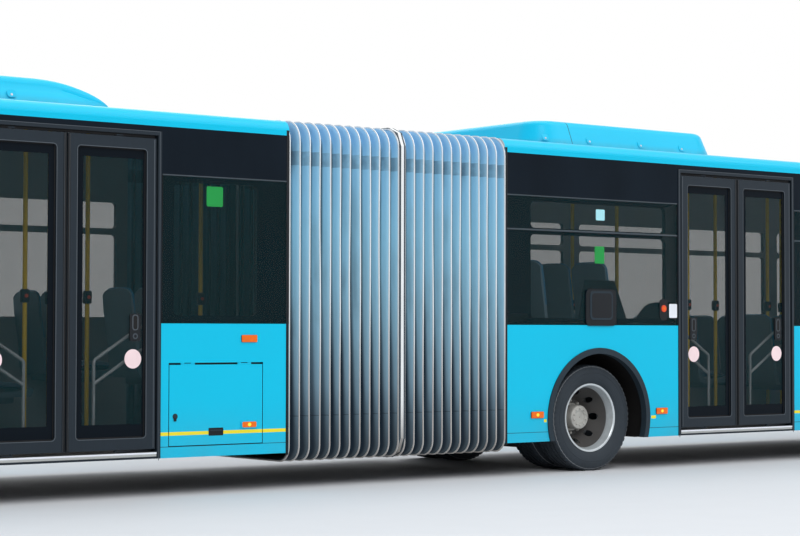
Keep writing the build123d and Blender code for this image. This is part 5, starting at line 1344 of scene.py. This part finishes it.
class BUS_OT_seats(DressOperator, bpy.types.Operator):
    """Put upholstered shells in place of the plain seats"""

    bl_idname = "bus.seats"
    bl_label = "Fit Seats"

    width: bpy.props.FloatProperty(
        name="Width", description="Width of one seat", default=0.43, unit="LENGTH")

    def execute(self, context):
        for section in ("front", "rear"):
            shells = Form(f"{section}_seat_shells")
            pads = Form(f"{section}_seat_pads")
            for low, high in islands(f"{section}_seats"):
                if high.z - low.z > 0.3:
                    self.pair(shells, pads, low, high)
            piece = shells.done(f"{section}_section", 40)
            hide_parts(f"{section}_seats")
            self.padded(pads, f"{section}_section")
        pads = Form("driver_seat_pads")
        base = Matrix.Translation((NOSE_X - 1.16, DRIVER_Y, 0.853))
        self.cushions(pads, base, lift=0.012)
        self.padded(pads, "front_section")
        return {"FINISHED"}

    def padded(self, form, body):
        """Finishes a set of pads."""
        piece = form.done(body, 40)

    def pair(self, form, pads, low, high):
        """Two seats and the beam that carries them from the wall."""
        seat_top = high.z - 0.6
        for index in range(2):
            centre_y = low.y + self.width / 2 + index * (high.y - low.y - self.width)
            base = Matrix.Translation((low.x + 0.102, centre_y, seat_top))
            self.seat(form, base)
            self.cushions(pads, base)
        side = 1 if low.y > 0 else -1
        wall_y = side * (INNER_W - 0.001)
        near, far = sorted((wall_y, low.y + 0.05 if side > 0 else high.y - 0.05))
        form.box((low.x + 0.19, near, seat_top - 0.14), (low.x + 0.39, far, seat_top - 0.085),
                 "seat_shell", 0.01)

    def seat(self, form, base):
        """One shell and its edge trim; cushions draws the cushion and back pad."""
        half = self.width / 2
        rows = []
        # the shell's outline seen from the side, round from the cushion's front edge
        shape = ((0.42, -0.055), (0.425, -0.02), (0.2, -0.05), (0.05, -0.045), (0.01, 0.0),
                 (-0.02, 0.2), (-0.05, 0.42), (-0.062, 0.575), (-0.075, 0.598), (-0.095, 0.59),
                 (-0.085, 0.42), (-0.05, 0.2), (-0.03, -0.03), (0.0, -0.085), (0.2, -0.09),
                 (0.4, -0.085))
        steps = 12
        for k in range(steps + 1):
            across = -1 + 2 * k / steps
            edge = 1 - abs(across) ** 6
            row = []
            for x, z in shape:
                taper = 0.012 * abs(across) ** 4
                drop = (1 - edge) * 0.045 if z > 0.5 else 0.0
                wing = 0.02 * abs(across) ** 3
                row.append((x + wing - taper, across * half, z - drop))
            rows.append(row)
        form.rings(rows, "seat_shell", caps=True, matrix=base)
        top = []
        for k in range(17):
            across = -1 + 2 * k / 16
            fall = abs(across) ** 6 * 0.05
            top.append((-0.068, across * half * 0.985, 0.597 - fall))
        form.tube([(-0.02, -half * 0.985, 0.22), (-0.045, -half * 0.985, 0.42), *top,
                   (-0.045, half * 0.985, 0.42), (-0.02, half * 0.985, 0.22)], 0.009,
                  "seat_edge", 6, matrix=base)

    def cushions(self, form, base, lift=0.0):
        """The cushion and the back pad of one seat."""
        half = self.width / 2
        self.pad(form, base, [(0.03 + 0.375 * t, lift - 0.02 + 0.022 * math.sin(math.pi * t))
                              for t in (i / 10 for i in range(11))], half * 0.92, 0.03)
        back = [(lift * 5 + 0.012 - 0.075 * t, 0.03 + 0.545 * t)
                for t in (i / 12 for i in range(13))]
        self.pad(form, base, back, half * 0.93, 0.022)

    def pad(self, form, base, line, half, thickness):
        """A crowned pad along a line of (x, z) points."""
        rows = []
        count = len(line) - 1
        for i, (x, z) in enumerate(line):
            ahead = line[min(i + 1, count)]
            behind = line[max(i - 1, 0)]
            tangent = Vector((ahead[0] - behind[0], ahead[1] - behind[1])).normalized()
            normal = Vector((-tangent.y, tangent.x))
            if normal.x + normal.y < 0:
                normal = -normal
            end = 1 - abs(2 * i / count - 1) ** 8
            ring = []
            for k in range(13):
                across = -1 + 2 * k / 12
                lift = thickness * (1 - abs(across) ** 5) * (0.35 + 0.65 * end)
                channel = 0.006 * math.exp(-((abs(across) - 0.62) / 0.04) ** 2)
                height = lift - channel
                ring.append((x + normal.x * height, across * half, z + normal.y * height))
            for k in range(12, -1, -1):
                across = -1 + 2 * k / 12
                ring.append((x - normal.x * 0.01, across * half, z - normal.y * 0.01))
            rows.append(ring)
        form.rings(rows, "seat_moquette", caps=True, matrix=base)


class BUS_OT_saloon(DressOperator, bpy.types.Operator):
    """Finish the floors, poles, partitions and the cab"""

    bl_idname = "bus.saloon"
    bl_label = "Finish Saloon"

    def execute(self, context):
        for node in ("front_floor", "rear_floor"):
            paint_faces(node, self.floor)
        for node in ("front_poles", "rear_poles"):
            paint_node(node, "pole_yellow")
        paint_faces("turntable", lambda c, n: "turntable_plate" if n.z > 0.5 else "chassis_steel")
        paint_node("joint_carrier", "chassis_steel")
        paint_faces("cab_fittings", self.cab)
        for node in ("front_axle", "middle_axle", "rear_axle", "left_knuckle", "right_knuckle"):
            paint_node(node, "chassis_steel")
        paint_node("engine", "engine_grey")
        self.pole_collars()
        return {"FINISHED"}

    def floor(self, centre, normal):
        """Covering on top, underbody below and trim on the wheel boxes."""
        if abs(centre.y) > 0.62 and centre.z < 0.6 and any(
                abs(centre.x - a.x) < 0.7 for a in AXLES.values()):
            return "underbody"
        if normal.z < -0.3 or centre.z < FLOOR_TOP_Z - 0.049:
            return "underbody"
        if centre.z < FLOOR_TOP_Z + 0.002:
            return "saloon_floor" if normal.z > 0.5 else "door_frame"
        near = any(math.hypot(centre.x - a.x, centre.z - AXLE_Z) < 0.612 for a in AXLES.values())
        return "underbody" if near else "interior_trim"

    def cab(self, centre, normal):
        """Dash, partition, seat and steering wheel of the cab."""
        reach = math.hypot(centre.x - NOSE_X + 0.77, centre.y - DRIVER_Y)
        if reach < 0.24 and centre.z > 0.9 and centre.x > NOSE_X - 1.0:
            return "black_plastic"
        if centre.x > NOSE_X - 0.7:
            return "dash_grey"
        if NOSE_X - 1.2 < centre.x < NOSE_X - 0.72 and abs(centre.y - DRIVER_Y) < 0.22:
            return "seat_shell"
        return "interior_trim"

    def pole_collars(self):
        """Bell buttons and end collars on the poles."""
        for section in ("front", "rear"):
            form = Form(f"{section}_pole_fittings")
            for low, high in islands(f"{section}_poles"):
                x, y = (low.x + high.x) / 2, (low.y + high.y) / 2
                form.tube([(x, y, low.z), (x, y, low.z + 0.03)], 0.032, "bright_rail", 16)
                form.box((x - 0.03, y - 0.028, 1.42), (x + 0.03, y + 0.028, 1.52),
                         "black_plastic", 0.012)
                form.tube([(x, y - 0.031, 1.47), (x, y - 0.026, 1.47)], 0.014, "button_red", 16)
            form.done(f"{section}_section")


class BUS_OT_lamps(DressOperator, bpy.types.Operator):
    """Fit lenses to the lamps on the sides, nose and tail"""

    bl_idname = "bus.lamps"
    bl_label = "Fit Lamps"

    def execute(self, context):
        for section in ("front", "rear"):
            paint_faces(f"{section}_lamps", self.shell)
            form = Form(f"{section}_lenses")
            for low, high in islands(f"{section}_lamps"):
                if high.z - low.z < 0.1:
                    self.side_lens(form, low, high)
                elif low.x < 0:
                    self.tail_lens(form, low, high)
            form.done(f"{section}_section")
        form = Form("flap_lens")
        x, z = REAR_END_X - 0.367, SIDE_LAMP_Z
        self.side_lens(form, Vector((x - 0.07, -HALF_W - 0.01, z - 0.027)),
                       Vector((x + 0.07, -HALF_W, z + 0.027)))
        form.done("service_flap")
        self.headlamps()
        return {"FINISHED"}

    def shell(self, centre, normal):
        """Clear shells at the nose, black behind the tail lenses, amber along the sides."""
        if centre.x > NOSE_X - 0.3 and centre.z > 0.55:
            return "clear_glass"
        if centre.x < TAIL_X + 0.05:
            return "black_plastic"
        return "lamp_amber" if abs(normal.y) > 0.5 else "black_plastic"

    def side_lens(self, form, low, high):
        """The raised lens on a side lamp, with its lit middle."""
        side = -1 if low.y < 0 else 1
        face = low.y if side < 0 else high.y
        middle = ((low.x + high.x) / 2, (low.z + high.z) / 2)
        size = (high.x - low.x - 0.014, high.z - low.z - 0.012)
        lit = "lamp_lit" if middle[1] < 1.0 else "lamp_amber"
        for outline, depth, finish in (
                (rounded_outline(middle, size, 0.01), 0.003, "lamp_amber"),
                (rounded_outline(middle, (0.03, 0.026), 0.0125), 0.0036, lit)):
            form.plate(outline, side * (depth + 0.001), finish,
                       Matrix.Translation((0, face - side * 0.001, 0)))

    def tail_lens(self, form, low, high):
        """Three stacked lenses of a tail lamp, just proud of its base."""
        height = (high.z - low.z) / 3
        for i, finish in enumerate(("lamp_red", "lamp_clear", "lamp_amber")):
            form.box((low.x + 0.0002, low.y + 0.004, low.z + i * height + 0.004),
                     (high.x - 0.004, high.y - 0.004, low.z + (i + 1) * height - 0.004), finish,
                     0.003, 3)

    def headlamps(self):
        """Twin round headlamps behind each corner of the nose."""
        form = Form("headlamps")
        radius = 0.075
        for side in (-1, 1):
            for y in (0.93, 0.74):
                x = nose_x(y) - 0.03
                place = Matrix.Translation((x, side * y, 0.66)) @ Matrix.Rotation(
                    -math.pi / 2, 4, "Z")
                form.lathe([(0.04, 0.001), (0.036, radius * 0.5), (0.02, radius * 0.85),
                            (0.008, radius)], "lamp_clear", 40, matrix=place)
                form.lathe([(0.0, radius + 0.012), (0.022, radius + 0.010), (0.02, radius),
                            (0.0, radius - 0.004)], "black_plastic", 40, matrix=place)
        form.done("front_section")


class BUS_OT_fittings(DressOperator, bpy.types.Operator):
    """Add the filler door, labels, latches, handles and trims"""

    bl_idname = "bus.fittings"
    bl_label = "Add Fittings"

    def execute(self, context):
        self.filler()
        self.flap_handle()
        self.pod_latches("front_roof_pod", "front_section", (-0.34, 0.19, 0.83, 1.36), MIDDLE_X)
        self.pod_latches("rear_roof_pod", "rear_section", (-3.3, -2.75, -2.2), REAR_END_X)
        self.end_trims()
        self.mirrors()
        self.wipers()
        return {"FINISHED"}

    def filler(self):
        """The black filler door, the button and the blank labels beside door 2."""
        form = Form("filler_door")
        y = -HALF_W
        outline = rounded_outline((FILLER_X, FILLER_Z), (0.27, 0.25), 0.035)
        form.plate(outline, 0.006, "arch_lip", Matrix.Translation((0, y - 0.018, 0)))
        inner = rounded_outline((FILLER_X + 0.002, FILLER_Z), (0.235, 0.215), 0.03)
        form.plate(inner, 0.005, "black_plastic", Matrix.Translation((0, y - 0.0195, 0)))
        base = rounded_outline((BUTTON_X, 1.41), (0.1, 0.19), 0.04)
        form.plate(base, 0.008, "black_plastic", Matrix.Translation((0, y - 0.006, 0)))
        button = rounded_outline((BUTTON_X, 1.42), (0.062, 0.062), 0.0305, 8)
        form.plate(button, 0.012, "button_red", Matrix.Translation((0, y - 0.012, 0)))
        inner = rounded_outline((BUTTON_X, 1.42), (0.03, 0.03), 0.0145, 8)
        form.plate(inner, 0.004, "lamp_amber", Matrix.Translation((0, y - 0.0145, 0)))
        label = rounded_outline((MIDDLE_X + 0.91, 1.4), (0.1, 0.125), 0.01)
        form.plate(label, 0.001, "label_white", Matrix.Translation((0, y - 0.0012, 0)))
        small = rounded_outline((FILLER_X, 2.23), (0.105, 0.095), 0.008)
        form.plate(small, 0.001, "label_pale", Matrix.Translation((0, y - 0.0012, 0)))
        form.done("front_section")
        labels = Form("window_labels")
        green = rounded_outline((REAR_END_X - 0.68, 2.22), (0.145, 0.15), 0.012)
        labels.plate(green, 0.001, "label_green", Matrix.Translation((0, y - 0.0012, 0)))
        labels.done("rear_section")
        front = Form("front_window_labels")
        green = rounded_outline((MIDDLE_X, 1.88), (0.115, 0.15), 0.01)
        front.plate(green, 0.001, "label_green", Matrix.Translation((0, y - 0.0012, 0)))
        front.done("front_section")

    def flap_handle(self):
        """Lock and recessed handle of the service flap."""
        form = Form("flap_fittings")
        y = -HALF_W
        slot = rounded_outline((REAR_END_X - 0.66, 0.462), (0.13, 0.058), 0.006)
        form.plate(slot, 0.002, "black_plastic", Matrix.Translation((0, y - 0.0015, 0)))
        grip = rounded_outline((REAR_END_X - 0.66, 0.472), (0.105, 0.012), 0.005)
        form.plate(grip, 0.004, "arch_lip", Matrix.Translation((0, y - 0.005, 0)))
        lock = rounded_outline((REAR_END_X - 1.017, 0.583), (0.042, 0.042), 0.02, 6)
        form.plate(lock, 0.004, "arch_lip", Matrix.Translation((0, y - 0.003, 0)))
        form.box((REAR_END_X - 1.032, y - 0.009, 0.548), (REAR_END_X - 1.008, y - 0.002, 0.575),
                 "black_plastic", 0.003)
        form.done("service_flap")

    def pod_latches(self, node, body, places, from_x):
        """Small sunk latches along both edges of a roof cover."""
        form = Form(f"{node}_latches")
        low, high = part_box(node)
        foot = low.z + 0.055
        for place in places:
            for side in (-1, 1):
                x = from_x + place
                y = side * (high.y - 0.019)
                tilt = Matrix.Translation((x, y, foot)) @ Matrix.Rotation(
                    side * math.radians(22), 4, "X")
                pocket = rounded_outline((0, 0), (0.07, 0.06), 0.02)
                depth = -0.003 if side < 0 else -0.001
                form.plate(pocket, 0.004, "roof_cover", tilt @ Matrix.Translation((0, depth, 0)))
                bolt = rounded_outline((0, -0.008), (0.018, 0.018), 0.0085, 5)
                form.plate(bolt, 0.006, "bright_rail",
                           tilt @ Matrix.Translation((0, depth - 0.001, 0)))
        form.done(body)

    def end_trims(self):
        """Dark upright trims where each section meets the bellows."""
        for body, x, sign in (("front_section", FRONT_END_X, 1), ("rear_section", REAR_END_X, -1)):
            form = Form(f"{body}_end_trim")
            low_x, high_x = sorted((x + sign * 0.003, x + sign * 0.026))
            for side in (-1, 1):
                near, far = sorted((side * (HALF_W - 0.001), side * (HALF_W + 0.003)))
                form.box((low_x, near, SKIRT_Z), (high_x, far, EAVES_Z), "black_plastic", 0.001)
            form.done(body)

    def mirrors(self):
        """Rounded mirror heads on bent arms."""
        form = Form("mirror_heads")
        low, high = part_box("mirrors")
        for side in (-1, 1):
            x = (low.x + high.x) / 2
            y = side * (HALF_W + 0.16)  # the middle of a head
            form.box((x - 0.045, min(y - 0.095, y + 0.095), 1.855),
                     (x + 0.045, max(y - 0.095, y + 0.095), 2.24), "black_plastic", 0.04, 4)
            form.box((x - 0.049, y - 0.078, 1.88), (x - 0.04, y + 0.078, 2.21), "bright_rail",
                     0.01)
            form.tube([(x - 0.02, side * (HALF_W - 0.01), 2.27), (x - 0.02, y, 2.27),
                       (x - 0.02, y, 2.2)], 0.016, "black_plastic", 12)
        piece = form.done("front_section")
        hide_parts("mirrors")

    def wipers(self):
        """Two wipers parked low on the windscreen."""
        form = Form("wipers")

        def on_glass(y, z):
            lean = 0.15 * max(0.0, z - 1.05) / 1.79  # of the windscreen, from its foot up
            return (nose_x(y) - lean + 0.006, y, z)

        thickness, steps = 0.008, 8
        for start, end in ((-0.95, -0.15), (-0.05, 0.75)):
            pivot = on_glass((start + end) / 2 + 0.1, 1.16)
            form.tube([pivot, on_glass((start + end) / 2, 1.27)], thickness, "black_plastic", 8)
            blade = [on_glass(start + (end - start) * t / steps, 1.24 + 0.02 * t)
                     for t in range(steps + 1)]
            form.tube(blade, thickness, "rubber_seal", 8)
        form.done("front_section")


FLOOR_SIZE = 120


class BUS_OT_studio(DressOperator, bpy.types.Operator):
    """Set the floor, the lamps, the world and the camera"""

    bl_idname = "bus.studio"
    bl_label = "Set Studio"

    def execute(self, context):
        scene = context.scene
        studio = scene.bus_studio
        scene.view_settings.view_transform = "Standard"
        self.floor(studio)
        self.world(scene)
        key = studio.key_strength
        self.lamp("key", (-8, -14, 11), key, 35)
        self.lamp("fill", (9, -9, 15), key * 0.65, 45)
        self.lamp("top", (1, 3, 14), key * 0.9, 50)
        self.lamp("back", (4, 14, 9), key * 0.4, 45)
        self.camera(scene, studio)
        return {"FINISHED"}

    def floor(self, studio):
        """A broad plain floor that shows white towards the horizon."""
        mesh = bpy.data.meshes.new("floor")
        shape = bmesh.new()
        bmesh.ops.create_grid(shape, x_segments=1, y_segments=1, size=FLOOR_SIZE)
        shape.to_mesh(mesh)
        shape.free()
        finish = Finish("studio_floor")
        grain = finish.noise(3.0, 5.0)
        colour = finish.mix(studio.floor, tuple(0.96 * c for c in studio.floor), grain)
        mesh.materials.append(finish.surface(colour=colour, roughness=0.75))
        floor = bpy.data.objects.new("floor", mesh)
        bpy.context.scene.collection.objects.link(floor)

    def world(self, scene):
        """Pale light all round, and white where the camera sees it."""
        world = bpy.data.worlds.new("studio_world")
        world.use_nodes = True
        nodes = Nodes(world.node_tree)
        rays = nodes.add("ShaderNodeLightPath").socket.node.outputs
        white = sum(Value(nodes, rays[f"Is {kind} Ray"])
                    for kind in ("Camera", "Glossy", "Transmission"))
        light = nodes.add("ShaderNodeBackground",
                          inputs={"Color": (0.86, 0.93, 1.0, 1), "Strength": 0.5})
        seen = nodes.add("ShaderNodeBackground", inputs={"Color": (1, 1, 1, 1)})
        mix = nodes.add("ShaderNodeMixShader", inputs={0: white, 1: light, 2: seen})
        nodes.add("ShaderNodeOutputWorld", inputs={"Surface": mix})
        scene.world = world

    def lamp(self, name, place, strength, spread):
        """A far, broad lamp whose light is even over the whole bus."""
        light = bpy.data.lights.new(name, "SUN")
        light.energy = strength
        light.angle = math.radians(spread)
        lamp = bpy.data.objects.new(name, light)
        lamp.location = place
        lamp.rotation_euler = (-Vector(place)).to_track_quat("-Z", "Y").to_euler()
        bpy.context.scene.collection.objects.link(lamp)

    def camera(self, scene, studio):
        """A long lens on the joint, from the kerb side and a little behind it."""
        lens = bpy.data.cameras.new("camera")
        lens.sensor_width = 36
        lens.lens = studio.lens
        lens.clip_end = 400
        camera = bpy.data.objects.new("camera", lens)
        scene.collection.objects.link(camera)
        heading, pitch = studio.heading, studio.pitch
        ahead = Vector((math.sin(heading) * math.cos(pitch), math.cos(heading) * math.cos(pitch),
                        math.sin(pitch)))
        turn = ahead.to_track_quat("-Z", "Y").to_matrix().to_4x4()
        camera.matrix_world = (Matrix.Translation(studio.camera_place) @ turn
                               @ Matrix.Rotation(studio.roll, 4, "Z"))
        scene.camera = camera


class BUS_PT_sidebar(bpy.types.Panel):
    """Lists the dressing steps and their settings."""

    bl_idname = "BUS_PT_sidebar"
    bl_label = "Articulated Bus"
    bl_space_type = "VIEW_3D"
    bl_region_type = "UI"
    bl_category = "Bus"

    def draw(self, context):
        layout = self.layout
        for group, _ in SETTINGS:
            settings = getattr(context.scene, group)
            box = layout.box()
            for key in settings.__annotations__:
                box.prop(settings, key)
        for step in STEPS:
            layout.operator(step.bl_idname)


SETTINGS = [("bus_paint", PaintSettings), ("bus_bellows", BellowsSettings),
            ("bus_wheels", WheelSettings), ("bus_studio", StudioSettings)]
STEPS = [BUS_OT_materials, BUS_OT_panels, BUS_OT_glazing, BUS_OT_bellows, BUS_OT_wheels,
         BUS_OT_doors, BUS_OT_seats, BUS_OT_saloon, BUS_OT_lamps, BUS_OT_fittings,
         BUS_OT_studio]


def register():
    """Registers the settings, the steps and the sidebar."""
    for group, settings in SETTINGS:
        bpy.utils.register_class(settings)
        setattr(bpy.types.Scene, group, bpy.props.PointerProperty(type=settings))
    for step in STEPS:
        bpy.utils.register_class(step)
    bpy.utils.register_class(BUS_PT_sidebar)


def unregister():
    """Takes everything back out."""
    bpy.utils.unregister_class(BUS_PT_sidebar)
    for step in reversed(STEPS):
        bpy.utils.unregister_class(step)
    for group, settings in reversed(SETTINGS):
        delattr(bpy.types.Scene, group)
        bpy.utils.unregister_class(settings)


def main():
    """Runs every step in order."""
    register()
    for step in STEPS:
        category, name = step.bl_idname.split(".")
        getattr(getattr(bpy.ops, category), name)()


if __name__ == "__main__":
    main()
